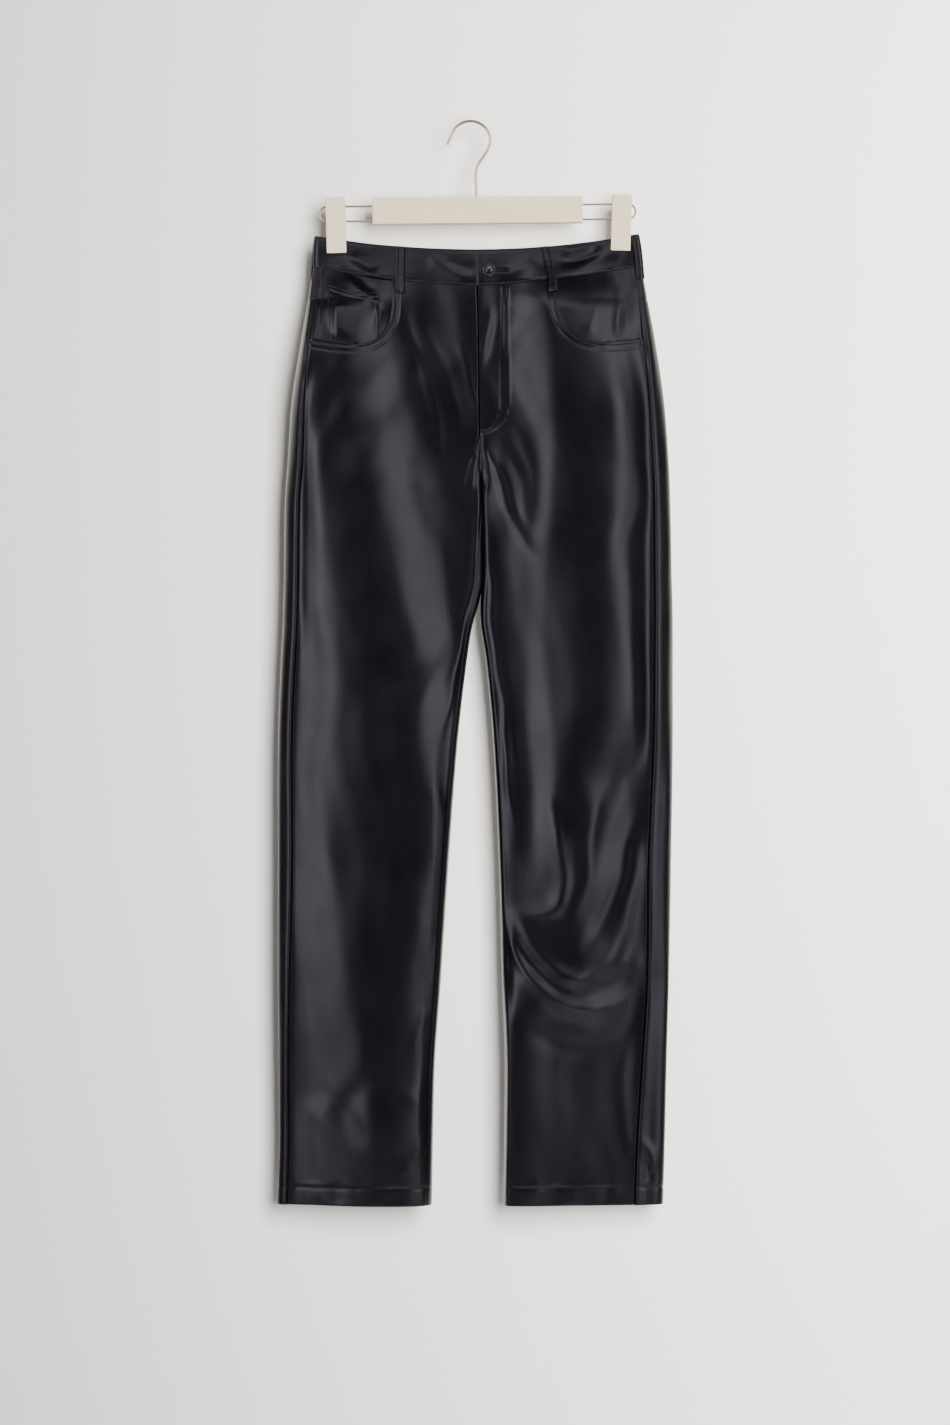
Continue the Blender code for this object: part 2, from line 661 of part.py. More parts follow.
# ---------------------------------------------------------------- hanger

def hang(obj):
    """Turns a hanger piece about the hook's crown, as the hanger hangs a little askew."""
    obj.matrix_world = Matrix.Rotation(-HANGER_TILT, 4, "Y") @ obj.matrix_world
    return obj


def wire(name, points, diameter, finish, resolution=2):
    curve = bpy.data.curves.new(name, "CURVE")
    curve.dimensions = "3D"
    curve.bevel_depth = diameter / 2 * MM
    curve.bevel_resolution = resolution
    curve.use_fill_caps = True
    spline = curve.splines.new("POLY")
    spline.points.add(len(points) - 1)
    for target, (x, y, z) in zip(spline.points, points):
        target.co = (x * MM, y * MM, z * MM, 1.0)
    curve.materials.append(finish)
    obj = bpy.data.objects.new(name, curve)
    bpy.context.scene.collection.objects.link(obj)
    return hang(obj)


def curve_through(points, steps):
    """Points on a smooth curve through the given ones."""
    result = []
    for index in range(len(points) - 1):
        p0 = Vector(points[max(index - 1, 0)])
        p1, p2 = Vector(points[index]), Vector(points[index + 1])
        p3 = Vector(points[min(index + 2, len(points) - 1)])
        for step in range(steps):
            t = step / steps
            result.append(0.5 * (2 * p1 + (p2 - p0) * t + (2 * p0 - 5 * p1 + 4 * p2 - p3) * t**2
                                 + (3 * p1 - p0 - 3 * p2 + p3) * t**3))
    return result + [Vector(points[-1])]


def hook(finish):
    """Flared tip, round crown, and an S down to the stem."""
    centre_x, centre_z = HOOK_CENTRE
    arc = [
        (centre_x + HOOK_RADIUS * math.cos(math.radians(turn)),
         centre_z + HOOK_RADIUS * math.sin(math.radians(turn)))
        for turn in range(HOOK_TIP_ANGLE, HOOK_TURN_ANGLE - 1, -12)
    ]
    tip_start = tuple(mix(a, b, 0.5) for a, b in zip(HOOK_TIP, arc[0]))
    stem = [(STEM_X, -72.0), (STEM_X, BAR_TOP - STEM_DEPTH + SOCKET_CLEARANCE)]
    lower = curve_through([arc[-1], *HOOK_LOWER_LINE, stem[0]], 2)
    points = [HOOK_TIP, tip_start, *arc, *[(p[0], p[1]) for p in lower[1:]], stem[1]]
    wire("hanger_hook", [(x, 0.0, z) for x, z in points], HOOK_WIRE, finish, resolution=3)


def box(name, low, high, bevel, finish):
    bm = bmesh.new()
    bmesh.ops.create_cube(bm, size=1.0)
    size = [b - a for a, b in zip(low, high)]
    centre = [(a + b) / 2 for a, b in zip(low, high)]
    bmesh.ops.scale(bm, vec=size, verts=bm.verts)
    bmesh.ops.translate(bm, vec=centre, verts=bm.verts)
    bmesh.ops.bevel(bm, geom=bm.edges[:], offset=bevel, segments=2, profile=0.5,
                    affect="EDGES", clamp_overlap=True)
    return add_object(name, bm, finish, smooth_angle=35)


def bore(name, start, end, radius, finish):
    """A round cutter from one point to another."""
    start, end = Vector(start), Vector(end)
    bm = bmesh.new()
    bmesh.ops.create_cone(bm, cap_ends=True, segments=12, radius1=radius, radius2=radius,
                          depth=(end - start).length)
    turn = (end - start).to_track_quat("Z", "Y").to_matrix().to_4x4()
    bmesh.ops.transform(bm, matrix=Matrix.Translation((start + end) / 2) @ turn, verts=bm.verts)
    return hang(add_object(name, bm, finish))


def bar(finish):
    length, depth, tall = BAR_SIZE
    low = (HANGER_X - length / 2, -depth / 2, BAR_TOP - tall)
    high = (HANGER_X + length / 2, depth / 2, BAR_TOP)
    made = hang(box("hanger_bar", low, high, BAR_BEVEL, finish))
    stem_radius = HOOK_WIRE / 2 + SOCKET_CLEARANCE
    cut(made, bore("stem_bore", (STEM_X, 0, BAR_TOP - STEM_DEPTH), (STEM_X, 0, BAR_TOP + 5),
                   stem_radius, finish))
    for side in (LEFT, RIGHT):
        for order, z in enumerate(WIRE_HEIGHTS):
            end = HANGER_X + side * length / 2
            cut(made, bore(f"wire_bore_{SIDE_NAMES[side]}_{order}",
                           (end - side * (WIRE_DEPTH + SOCKET_CLEARANCE), 0, z),
                           (end + side * 5, 0, z), WIRE / 2 + SOCKET_CLEARANCE, finish))


def wire_loop(side, finish):
    """Both wires of one side, joined by a half circle at the outer end."""
    upper, lower = WIRE_HEIGHTS
    radius = (upper - lower) / 2
    start = HANGER_X + side * (BAR_SIZE[0] / 2 - WIRE_DEPTH)
    bend = HANGER_X + side * (WIRE_REACH - WIRE / 2 - radius)
    turns = [math.radians(90 - step * 20) for step in range(10)]
    half_circle = [
        (bend + side * radius * math.cos(turn), 0.0, (upper + lower) / 2 + radius * math.sin(turn))
        for turn in turns
    ]
    points = [(start, 0.0, upper), *half_circle, (start, 0.0, lower)]
    wire("hanger_wire_" + SIDE_NAMES[side], points, WIRE, finish)


def clip_core(side, finish):
    """The spring housing between the jaws, which the two wires pass through."""
    half = CORE_WIDTH / 2
    low = (CLIP_X[side] - half, -CORE_HALF_DEPTH, CORE_BOTTOM)
    high = (CLIP_X[side] + half, CORE_HALF_DEPTH, CORE_TOP)
    name = "clip_core_" + SIDE_NAMES[side]
    core = hang(box(name, low, high, 0.5, finish))
    for order, z in enumerate(WIRE_HEIGHTS):
        cut(core, bore(f"core_bore_{SIDE_NAMES[side]}_{order}",
                       (CLIP_X[side] - half - 2, 0, z), (CLIP_X[side] + half + 2, 0, z),
                       WIRE / 2 + SOCKET_CLEARANCE, finish))


def clip_jaw(side, face, finish):
    """A plate that is flat on the cloth and leans away towards its finger end."""
    inner = (
        (JAW_GAP, CLIP_BOTTOM), (JAW_GAP, JAW_BEND_HEIGHT), (JAW_GAP + JAW_FLARE, CLIP_TOP),
    )
    outer = [(y + JAW_WALL, z) for y, z in reversed(inner)]
    bm = bmesh.new()
    start = CLIP_X[side] - CLIP_WIDTH / 2
    end_face = bm.faces.new([bm.verts.new((start, face * y, z)) for y, z in (*inner, *outer)])
    pushed = bmesh.ops.extrude_face_region(bm, geom=[end_face])
    moved = [item for item in pushed["geom"] if isinstance(item, bmesh.types.BMVert)]
    bmesh.ops.translate(bm, vec=(CLIP_WIDTH, 0, 0), verts=moved)
    bmesh.ops.recalc_face_normals(bm, faces=bm.faces)
    bmesh.ops.bevel(bm, geom=bm.edges[:], offset=0.6, segments=2, profile=0.5, affect="EDGES",
                    clamp_overlap=True)
    pivot = Vector((CLIP_X[side], 0, (CLIP_TOP + CLIP_BOTTOM) / 2))
    turn = (Matrix.Translation(pivot) @ Matrix.Rotation(-CLIP_TILT[side], 4, "Y")
            @ Matrix.Translation(-pivot))
    bmesh.ops.transform(bm, matrix=turn, verts=bm.verts)
    where = "front" if face < 0 else "back"
    hang(add_object(f"clip_jaw_{where}_{SIDE_NAMES[side]}", bm, finish, smooth_angle=35))


def build():
    for obj in list(bpy.data.objects):
        bpy.data.objects.remove(obj)
    faux_leather = material("faux_leather", (0.012, 0.010, 0.014), 0.42)
    nickel = material("dark_nickel", (0.20, 0.19, 0.18), 0.28, metallic=1.0)
    hanger_plastic = material("hanger_plastic", (0.68, 0.64, 0.56), 0.5)
    hanger_wire = material("hanger_wire", (0.72, 0.70, 0.64), 0.35)

    for side in (LEFT, RIGHT):
        front_panel(side, faux_leather)
        back_panel(side, faux_leather)
        yoke(side, faux_leather)
        pocket_facing(side, faux_leather)
    waistband(RIGHT, faux_leather)
    button(waistband(LEFT, faux_leather), nickel)
    coin_pocket(faux_leather)
    belt_loops(faux_leather)

    hook(hanger_wire)
    bar(hanger_plastic)
    for side in (LEFT, RIGHT):
        wire_loop(side, hanger_wire)
        clip_core(side, hanger_plastic)
        for face in (-1, 1):
            clip_jaw(side, face, hanger_plastic)


build()
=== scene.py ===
"""The looks of faux leather trousers on a clip hanger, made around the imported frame.

Lengths are in millimetres until a mesh is written. "Left" and "right" are the wearer's, so the
wearer's right leg is at -X, and the garment's front faces -Y.
"""

import math
from collections import namedtuple

import bmesh
import bpy
import numpy as np
from mathutils import Matrix, Vector


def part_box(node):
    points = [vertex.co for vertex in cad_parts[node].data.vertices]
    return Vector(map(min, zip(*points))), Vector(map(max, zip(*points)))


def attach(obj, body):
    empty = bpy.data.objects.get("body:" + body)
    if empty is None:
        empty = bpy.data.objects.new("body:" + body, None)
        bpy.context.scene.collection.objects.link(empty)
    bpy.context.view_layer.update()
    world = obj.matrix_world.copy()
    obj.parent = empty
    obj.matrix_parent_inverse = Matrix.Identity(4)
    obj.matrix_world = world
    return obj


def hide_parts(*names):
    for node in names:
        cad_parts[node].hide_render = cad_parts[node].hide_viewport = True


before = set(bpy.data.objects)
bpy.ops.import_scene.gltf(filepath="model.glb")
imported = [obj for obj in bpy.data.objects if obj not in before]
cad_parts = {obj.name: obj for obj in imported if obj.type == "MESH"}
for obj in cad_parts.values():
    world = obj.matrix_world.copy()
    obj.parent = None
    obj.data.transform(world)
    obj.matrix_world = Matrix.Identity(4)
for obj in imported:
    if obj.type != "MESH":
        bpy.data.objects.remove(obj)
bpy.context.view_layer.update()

MM = 0.001
LEFT, RIGHT = 1, -1
SIDE_NAMES = {LEFT: "left", RIGHT: "right"}

# ---- the cut and the hang

CLOTH = 1.1            # wall of one layer
BAND_WALL = 2.2
POCKET_WALL = 0.9
ROUNDNESS = 2.5        # superellipse power of a hanging leg's section

NEAR_EDGE_X, NEAR_MIDDLE_X, NEAR_INSEAM_X = 180.0, 90.0, 40.0   # rough places across a leg

HEM = -1162.6
HEM_DEPTH = 19.0
THIGHS_TOUCH_END = -512.0  # the thighs touch down to this height
BAND_TOP_CENTRE = -138.7
BAND_TOP_SIDE = {LEFT: -119.9, RIGHT: -122.0}
BAND_SAG_POWER = 1.75
BAND_HEIGHT_CENTRE = 39.2
BAND_HEIGHT_SIDE = 35.0

# Levels down the cloth: -1 at the waistband's top, 0 at its seam, 1 at the hem
POCKET_LEVEL = 0.0785
FLY_END_LEVEL = 0.158
CROTCH_LEVEL = 0.2234
PARTING_START, PARTING_END = 0.04, 0.31   # the back changes from one form to two between these
CROTCH_REACH = 0.5         # a share of the half width
PARTED_START = 0.195       # the fronts' inner edges turn in from here to the crotch
YOKE_LEVEL_SIDE = 0.034
YOKE_LEVEL_CENTRE = 0.062
INSEAM_LEVEL = 0.29
INSEAM_INSET = {LEFT: 0.0, RIGHT: 5.0}

# The waist, pressed flat by the two clips
PINCH = 2.9
EDGE_ROUND = 6.0
PINCH_END = -142.0
PINCH_RELEASE = 62.0, 98.0   # the drop over which the front and the back open below the clips
CLIP_INNER_EDGE = {LEFT: 147.0, RIGHT: -135.0}
WAIST_CENTRE = 5.5
WAIST_HALF_WIDTH = 174.0

# x of each leg's edges, the depth in front and behind, and how far in the side seams lie
Section = namedtuple(
    "Section", "z right_edge right_inner left_inner left_edge front back right_seam left_seam"
)
SECTIONS = np.array((
    (-119, -168.2, 5.5, 5.5, 179.0, 18, 17, 1.0, 5.4),
    (-156, -170.4, 6.3, 6.3, 183.0, 18, 18, 1.6, 5.6),
    (-191, -175.8, 7.2, 7.2, 189.4, 22, 24, 7.0, 8.6),
    (-234, -183.0, 8.2, 8.2, 197.4, 27, 31, 8.6, 12.0),
    (-298, -193.0, 9.0, 9.0, 206.9, 29, 35, 14.0, 16.5),
    (-363, -197.3, 9.8, 9.8, 212.0, 29, 35, 16.0, 18.0),
    (-406, -200.4, 11.0, 11.4, 213.8, 28, 32, 16.0, 18.3),
    (-492, -201.6, 11.8, 12.2, 215.5, 26, 28, 16.0, 19.5),
    (-516, -202.2, 8.2, 9.6, 216.2, 25.5, 27, 16.3, 20.0),
    (-540, -202.8, 1.2, 9.8, 216.6, 25, 26.5, 16.3, 20.5),
    (-578, -204.8, -4.8, 15.4, 216.6, 25, 26, 16.0, 21.0),
    (-664, -207.8, -14.5, 23.1, 216.6, 24, 25, 15.4, 21.8),
    (-793, -208.0, -24.2, 29.4, 214.7, 24, 24, 16.0, 25.0),
    (-922, -208.0, -32.8, 32.8, 212.3, 22, 22, 13.0, 24.3),
    (-1008, -207.2, -39.0, 35.6, 210.0, 21, 21, 10.8, 27.0),
    (-1094, -206.4, -41.2, 35.0, 208.0, 20, 20, 10.2, 30.6),
    (-1163, -208.8, -42.4, 33.8, 206.0, 20, 20, 10.8, 31.2),
))

# How each leg's front hangs: a height z, and eight places across it, each an x and the depth there
HANG_RIGHT = (
    (-191, -165, 13, -142, 19.5, -118, 19, -95, 18, -68, 15.5, -52, 14, -6, 20, 9, 20),
    (-239, -172, 27.2, -150, 27.8, -132, 28, -82, 15.5, -64, 13.5, -40, 13.5, -4, 18.5, 9, 18.5),
    (-298, -180, 24.5, -170, 27, -150, 28.3, -128, 28.5, -74, 14.5, -58, 13, -32, 12.5, 10, 15),
    (-352, -182, 18.5, -174, 21.5, -165, 24.5, -148, 25.8, -110, 26.5, -64, 14, -30, 9, 11, 9),
    (-406, -184, 15.5, -174, 19.5, -163, 23.5, -150, 25.3, -102, 26, -60, 14.5, -28, 9, 12, 8.5),
    (-460, -185, 15, -174, 19, -160, 24, -146, 26, -90, 26.5, -34, 11.5, -20, 10.5, 9, 10),
    (-513, -186, 13.5, -174, 18, -158, 23.5, -140, 26.5, -78, 27, -26, 12.5, -12, 11.5, 3, 11),
    (-567, -186, 13, -173, 16.6, -154, 23.2, -138, 26.5, -66, 27, -28, 16, -14, 13, -4, 11.5),
    (-621, -190, 12.3, -177, 14.3, -150, 22.7, -130, 26, -112, 27.5, -56, 27, -34, 20.5, -12, 13.5),
    (-707, -192, 10.8, -184, 12, -162, 18.7, -142, 22.8, -98, 28, -62, 29, -42, 26, -20, 18),
    (-782, -192, 9.7, -184, 11, -156, 19, -142, 21, -98, 25, -58, 26.5, -42, 24.5, -25, 18),
    (-857, -192, 9.4, -184, 10.6, -140, 22.6, -124, 25, -104, 26, -60, 25, -44, 21, -29, 15),
    (-943, -193, 8.3, -182, 9.6, -136, 21.8, -120, 24, -100, 24.5, -72, 23.5, -52, 18.5, -34, 12.5),
    (-1008, -195, 7, -176, 9.5, -126, 23.5, -114, 25.5, -102, 25, -70, 22, -54, 18.5, -42, 13),
    (-1072, -195, 5, -182, 7, -160, 13.8, -138, 18.6, -108, 26.4, -84, 26, -58, 21, -42, 13),
    (-1163, -197, 6, -180, 8.5, -150, 16, -118, 22.5, -90, 24, -66, 22, -54, 18, -42, 13),
)
HANG_LEFT = (
    (-191, 9, 20, 30, 17.5, 40, 18.5, 76, 28.5, 104, 27, 132, 20, 160, 13.5, 178, 10),
    (-239, 9, 18.5, 30, 16, 42, 17.5, 86, 29, 108, 29.5, 136, 26, 160, 20, 184, 14),
    (-298, 10, 15, 38, 14.5, 50, 16.5, 92, 28.5, 146, 28.5, 160, 25.5, 172, 20.5, 190, 12.5),
    (-352, 11, 9, 34, 12.5, 70, 17.5, 90, 23.5, 144, 27, 158, 25, 173, 19.5, 192, 10),
    (-406, 12, 8.5, 34, 12.5, 66, 17.5, 90, 24, 148, 27, 162, 24.5, 178, 18, 194, 10.5),
    (-452, 11, 9, 36, 11.5, 56, 16, 84, 24, 112, 27, 147, 27.8, 166, 23, 193, 10.5),
    (-513, 10, 9.5, 40, 11.5, 60, 15.5, 80, 21, 116, 28.5, 148, 29.3, 168, 25, 192, 13.5),
    (-621, 20, 11, 40, 12.5, 56, 15, 86, 24.5, 118, 30.5, 149, 30.8, 172, 26, 192, 15.5),
    (-664, 23, 11, 39, 13, 60, 15.5, 90, 25.5, 116, 28.5, 148, 27.5, 172, 21.5, 192, 13.5),
    (-707, 26, 11, 38, 13.5, 62, 15.5, 92, 25, 116, 26.8, 142, 22.5, 166, 14.5, 192, 11.5),
    (-772, 29, 11, 42, 14, 66, 17, 80, 21, 98, 25, 120, 24.5, 152, 15.5, 190, 12),
    (-814, 30, 11, 44, 13.5, 68, 18.5, 86, 22, 104, 23, 124, 22, 156, 16, 190, 11),
    (-900, 33, 12, 46, 17, 70, 20.5, 98, 23, 130, 21.5, 156, 14.5, 174, 9.5, 190, 8),
    (-924, 34, 13, 47, 20, 70, 23.5, 102, 25, 116, 23, 150, 12.8, 168, 7.6, 190, 7),
    (-970, 35, 21.5, 47, 23.5, 58, 24, 90, 19.8, 120, 15.6, 150, 11.4, 174, 7.2, 190, 7),
    (-1072, 35, 21.5, 47, 23.4, 60, 24, 90, 19, 120, 14.1, 150, 9.8, 174, 7, 190, 7),
    (-1163, 34, 18, 46, 20, 60, 20.5, 90, 17.7, 120, 14.8, 150, 12, 172, 10, 190, 9),
)
HANG = {RIGHT: np.array(HANG_RIGHT, float), LEFT: np.array(HANG_LEFT, float)}
OUTER_TURN = {RIGHT: 15.0, LEFT: 18.0}   # width over which the front turns in to the outer edge
INNER_TURN = 6.0
EDGE_RIDGE = {RIGHT: (2.3, 2.2, 6.0), LEFT: (2.8, 2.2, 8.0)}   # lift, and reach in and out
EDGE_RIDGE_STEP = 2.5      # from the side seam out to its crest
EDGE_RIDGE_START = -205.0

# Creases: a line down the cloth, its height (a trough's is below 0), how far it spreads to its
# -X and +X side, and how round its crest is (1 is a soft roll, 0.3 a sharp one)
Crease = namedtuple("Crease", "height left right crest line")


def crease_table(*rows):
    """Each row has a crease's height, left, right and crest, and then the points of its line."""
    return [Crease(*row[:4], row[4:]) for row in rows]


FRONT_CREASES = crease_table(
    # wearer's right, hip and thigh
    (1.1, 9, 7, 0.9, (-78, -189), (-69, -212), (-60, -239), (-50, -271), (-42, -305), (-35, -341),
     (-28, -374)),
    (-0.6, 9, 9, 1.0, (-64, -200), (-44, -236), (-27, -272), (-16, -310), (-10, -350)),
    (0.9, 6, 5, 0.7, (-12, -232), (-5, -262), (0, -298), (3, -330)),
    (-0.3, 12, 12, 1.0, (-88, -236), (-74, -290), (-60, -340), (-52, -380)),
    (0.4, 12, 12, 1.0, (-106, -392), (-84, -384), (-60, -388), (-42, -402)),
    (1.3, 6, 4, 0.6, (6, -392), (5, -449), (0, -502), (-10, -556), (-22, -610), (-33, -680)),
    (1.0, 12, 6, 0.6, (-36, -704), (-34, -750), (-30, -790), (-25, -812)),
    (1.0, 6, 12, 0.7, (-25, -812), (-30, -850), (-38, -900), (-42, -950)),
    (-0.5, 12, 12, 0.9, (-170, -1030), (-146, -1052), (-122, -1074), (-104, -1100)),
    (0.4, 12, 12, 0.9, (-186, -1046), (-160, -1072), (-130, -1096), (-96, -1116)),
    (0.6, 8, 8, 0.8, (-66, -1006), (-58, -985), (-50, -966), (-44, -950)),
    (0.5, 9, 9, 0.8, (-88, -1026), (-74, -1040), (-60, -1052), (-48, -1060)),
    (0.7, 9, 7, 0.7, (-80, -1130), (-64, -1120), (-54, -1104), (-47, -1084)),
    (-0.4, 10, 9, 0.8, (-84, -1104), (-68, -1110), (-52, -1128)),
    # gathers below the crotch
    (0.9, 2.2, 2.0, 0.8, (9, -350), (6, -366), (5, -384), (6, -398)),
    (0.7, 2.2, 2.2, 0.8, (5, -354), (0, -368), (-3, -384), (-4, -400)),
    (0.9, 2.0, 2.2, 0.8, (14, -352), (15, -368), (18, -384), (18, -402)),
    (0.7, 2.2, 2.2, 0.8, (16, -350), (21, -362), (26, -376), (29, -392)),
    # wearer's left, hip and thigh
    (1.2, 6, 8, 0.8, (17, -192), (19, -214), (16, -238), (11, -262)),
    (-0.7, 8, 9, 0.9, (30, -208), (25, -234), (19, -256), (13, -272)),
    (0.6, 8, 9, 0.9, (20, -270), (24, -300), (23, -326)),
    (0.3, 9, 9, 0.9, (48, -256), (58, -286), (68, -308), (80, -334)),
    (-0.3, 9, 9, 0.9, (38, -254), (45, -280), (54, -302), (66, -326)),
    (0.3, 9, 9, 0.9, (64, -196), (56, -218), (46, -236), (40, -250)),
    (-0.3, 9, 9, 0.9, (52, -196), (46, -214), (38, -230)),
    (0.9, 8, 8, 0.9, (40, -322), (50, -340), (60, -366), (66, -400), (68, -440)),
    (1.3, 6, 8, 0.8, (20, -358), (31, -384), (40, -412), (50, -440), (60, -458), (76, -474)),
    (1.0, 6, 7, 0.9, (34, -352), (46, -370), (56, -394), (60, -424), (66, -446)),
    (-0.8, 6, 6, 0.9, (28, -362), (42, -392), (50, -420), (58, -440)),
    (1.5, 4, 7, 0.6, (17, -396), (18, -470), (24, -545), (32, -621), (38, -685), (44, -750),
     (50, -793)),
    (-0.6, 7, 7, 0.9, (44, -640), (46, -672), (50, -700)),
    # wearer's left, knee
    (2.4, 14, 7, 0.8, (84, -716), (91, -760), (96, -800), (98, -826), (92, -845), (76, -852),
     (56, -850), (40, -842)),
    (-1.6, 9, 12, 1.0, (110, -740), (112, -790), (108, -832), (98, -862), (80, -880)),
    (2.3, 24, 12, 1.0, (140, -700), (132, -744), (125, -784), (118, -820), (110, -842), (98, -862),
     (82, -874)),
    (-1.9, 13, 12, 1.0, (180, -728), (167, -782), (155, -824), (137, -862), (117, -898)),
    (2.2, 15, 14, 1.0, (184, -756), (174, -800), (165, -846), (155, -890), (136, -930)),
    (3.3, 8, 12, 0.7, (31, -836), (38, -862), (47, -890), (61, -918), (80, -940), (106, -950),
     (136, -948), (160, -928)),
    (2.5, 8, 11, 0.8, (40, -842), (54, -860), (66, -884), (82, -904), (104, -917), (132, -916)),
    (-2.2, 7, 7, 0.9, (38, -866), (49, -884), (64, -908), (84, -926), (108, -934)),
    (2.0, 16, 14, 1.0, (184, -880), (176, -914), (160, -942), (134, -958), (104, -966)),
    (-1.1, 14, 16, 1.0, (44, -950), (60, -972), (92, -990), (128, -994), (162, -976), (188, -940)),
    # wearer's left, shin
    (0.8, 9, 9, 0.9, (168, -985), (164, -1050), (170, -1120)),
    (-0.6, 18, 18, 1.0, (112, -990), (106, -1040), (112, -1110)),
    (1.1, 7, 6, 0.6, (184, -1092), (191, -1110), (197, -1132)),
    (-0.9, 6, 6, 0.7, (182, -1112), (188, -1126), (193, -1142)),
    # both hems
    (0.5, 9, 9, 0.9, (-170, -1136), (-167, -1162)),
    (-0.5, 9, 9, 0.9, (-146, -1136), (-144, -1162)),
    (0.5, 10, 10, 0.9, (-112, -1134), (-110, -1162)),
    (-0.4, 9, 9, 0.9, (-84, -1138), (-82, -1162)),
    (0.5, 9, 9, 0.9, (72, -1134), (70, -1162)),
    (0.5, 8, 8, 0.9, (112, -1136), (113, -1162)),
    (-0.5, 8, 8, 0.9, (92, -1136), (93, -1162)),
    (-0.4, 9, 9, 0.9, (144, -1138), (146, -1162)),
)
BACK_CREASES = crease_table(
    (3.4, 14, 16, 0.9, (-20, -300), (-60, -352), (-108, -400), (-160, -436)),
    (3.2, 16, 13, 0.9, (30, -306), (74, -366), (122, -418), (176, -446)),
    (-2.6, 12, 14, 0.9, (-22, -350), (-60, -404), (-100, -446), (-146, -474)),
    (-2.6, 13, 12, 0.9, (34, -356), (70, -414), (108, -456), (156, -486)),
    (2.2, 9, 10, 0.7, (-14, -392), (-44, -440), (-80, -482), (-112, -508)),
    (2.2, 10, 9, 0.7, (30, -396), (58, -446), (92, -488), (130, -512)),
    (3.8, 20, 24, 1.0, (-150, -470), (-150, -620), (-128, -760)),
    (-3.6, 22, 24, 1.0, (-98, -510), (-92, -660), (-88, -780)),
    (3.0, 16, 16, 0.9, (-46, -520), (-46, -640), (-52, -750)),
    (3.8, 24, 20, 1.0, (158, -480), (160, -640), (140, -770)),
    (-3.6, 24, 22, 1.0, (104, -510), (110, -650), (112, -780)),
    (3.0, 16, 16, 0.9, (56, -530), (58, -650), (66, -760)),
    (3.4, 10, 14, 0.7, (-40, -766), (-88, -806), (-148, -796), (-188, -756)),
    (3.4, 14, 10, 0.7, (44, -786), (96, -830), (150, -816), (196, -776)),
    (2.4, 10, 10, 0.7, (-44, -820), (-90, -850), (-140, -846)),
    (2.4, 10, 10, 0.7, (40, -836), (90, -872), (146, -866)),
    (-2.8, 18, 18, 1.0, (-120, -860), (-110, -980), (-116, -1110)),
    (-2.8, 18, 18, 1.0, (128, -880), (116, -1000), (118, -1110)),
    (1.8, 16, 16, 1.0, (-70, -900), (-74, -1010), (-80, -1110)),
    (1.8, 16, 16, 1.0, (166, -900), (160, -1010), (166, -1110)),
)
# On the waistband and on the facings, in height order across the front
BAND_CREASES = crease_table(
    (1.1, 8, 9, 0.7, (-150, -148), (-128, -154), (-104, -166), (-88, -170)),
    (-0.9, 7, 7, 0.8, (-132, -140), (-116, -152), (-100, -158)),
    (0.9, 9, 9, 0.8, (-52, -150), (-24, -160), (0, -172)),
    (-0.7, 8, 8, 0.8, (-30, -150), (-10, -158), (2, -160)),
    (1.0, 8, 9, 0.8, (30, -168), (48, -162), (72, -152)),
    (1.3, 8, 8, 0.7, (92, -166), (118, -156), (146, -143), (166, -134)),
    (-1.3, 6, 6, 0.7, (96, -154), (120, -146), (142, -134)),
    (1.0, 7, 7, 0.7, (96, -142), (116, -136), (134, -128)),
    (0.9, 4, 5, 0.6, (150, -160), (157, -148), (163, -138)),
)
FACING_CREASES = crease_table(
    (1.2, 6, 6, 0.8, (-136, -160), (-128, -172), (-114, -184), (-102, -193), (-94, -206)),
    (-0.8, 6, 6, 0.9, (-126, -160), (-112, -174), (-100, -184)),
    (2.4, 8, 15, 1.0, (-142, -190), (-142, -214), (-141, -236)),
    (-0.7, 5, 5, 0.9, (-96, -200), (-98, -214), (-103, -228)),
    (0.6, 5, 5, 0.9, (-158, -160), (-160, -176), (-164, -188)),
    (1.2, 10, 10, 1.0, (148, -158), (138, -186), (128, -212), (120, -236)),
    (-1.6, 8, 7, 0.9, (164, -158), (160, -190), (157, -216), (156, -238)),
    (0.8, 8, 8, 0.9, (178, -168), (175, -200), (172, -230)),
)

# ---- the sewing

Scoop = namedtuple("Scoop", "start_x power")
SCOOPS = {RIGHT: Scoop(-85.5, 3.7), LEFT: Scoop(91.9, 3.0)}
SCOOP_UNDERLAP = 13.0          # how far a facing goes on behind the front panel, across
SCOOP_UNDERLAP_LEVEL = 0.013   # and down
MOUTH_FLUSH, MOUTH_DEEP = 0.45, 0.97   # where it leaves the surface, and where it is deepest
FACING_GAP = {RIGHT: 1.6, LEFT: 0.6}   # between a front panel's inner face and the facing
COIN_POCKET_X = (-153.0, -100.0)
COIN_POCKET_LEVELS = (0.015, 0.084)

EDGE_ROLL = 1.3        # radius that a turned edge rolls over
SEAM_ROLL = 1.9        # the same at the side seams, whose allowances are bulkier
MOUTH_ROLL = 1.0       # and at the pocket mouths
BAND_PROUD = 0.5       # how far the waistband's lower edge stands over the panels
STITCH_LENGTH, STITCH_GAP = 2.7, 0.8
THREAD_RADIUS = 0.34
THREAD_SINK = 0.12         # how far a stitch's middle lies below the groove's floor
TOPSTITCH = (2.2, 8.2)     # the two rows, in from a pocket mouth's edge
SEAM_STITCH = 2.0          # one row beside a seam
FACING_ROWS = (2.6, 8.8)   # two rows beside the right facing's outer seam
COIN_POCKET_ROW = 7.5      # a second row below the coin pocket's edge
LOOP_ROW = 2.9             # a row in from each side of a belt loop
GROOVE_DEPTH, GROOVE_WIDTH = 0.7, 1.1
MOUTH_PULL, FLY_PULL = 1.3, 1.6    # how much deeper the grooves are there
MOUTH_LENGTH, FLY_LENGTH = 140.0, 160.0
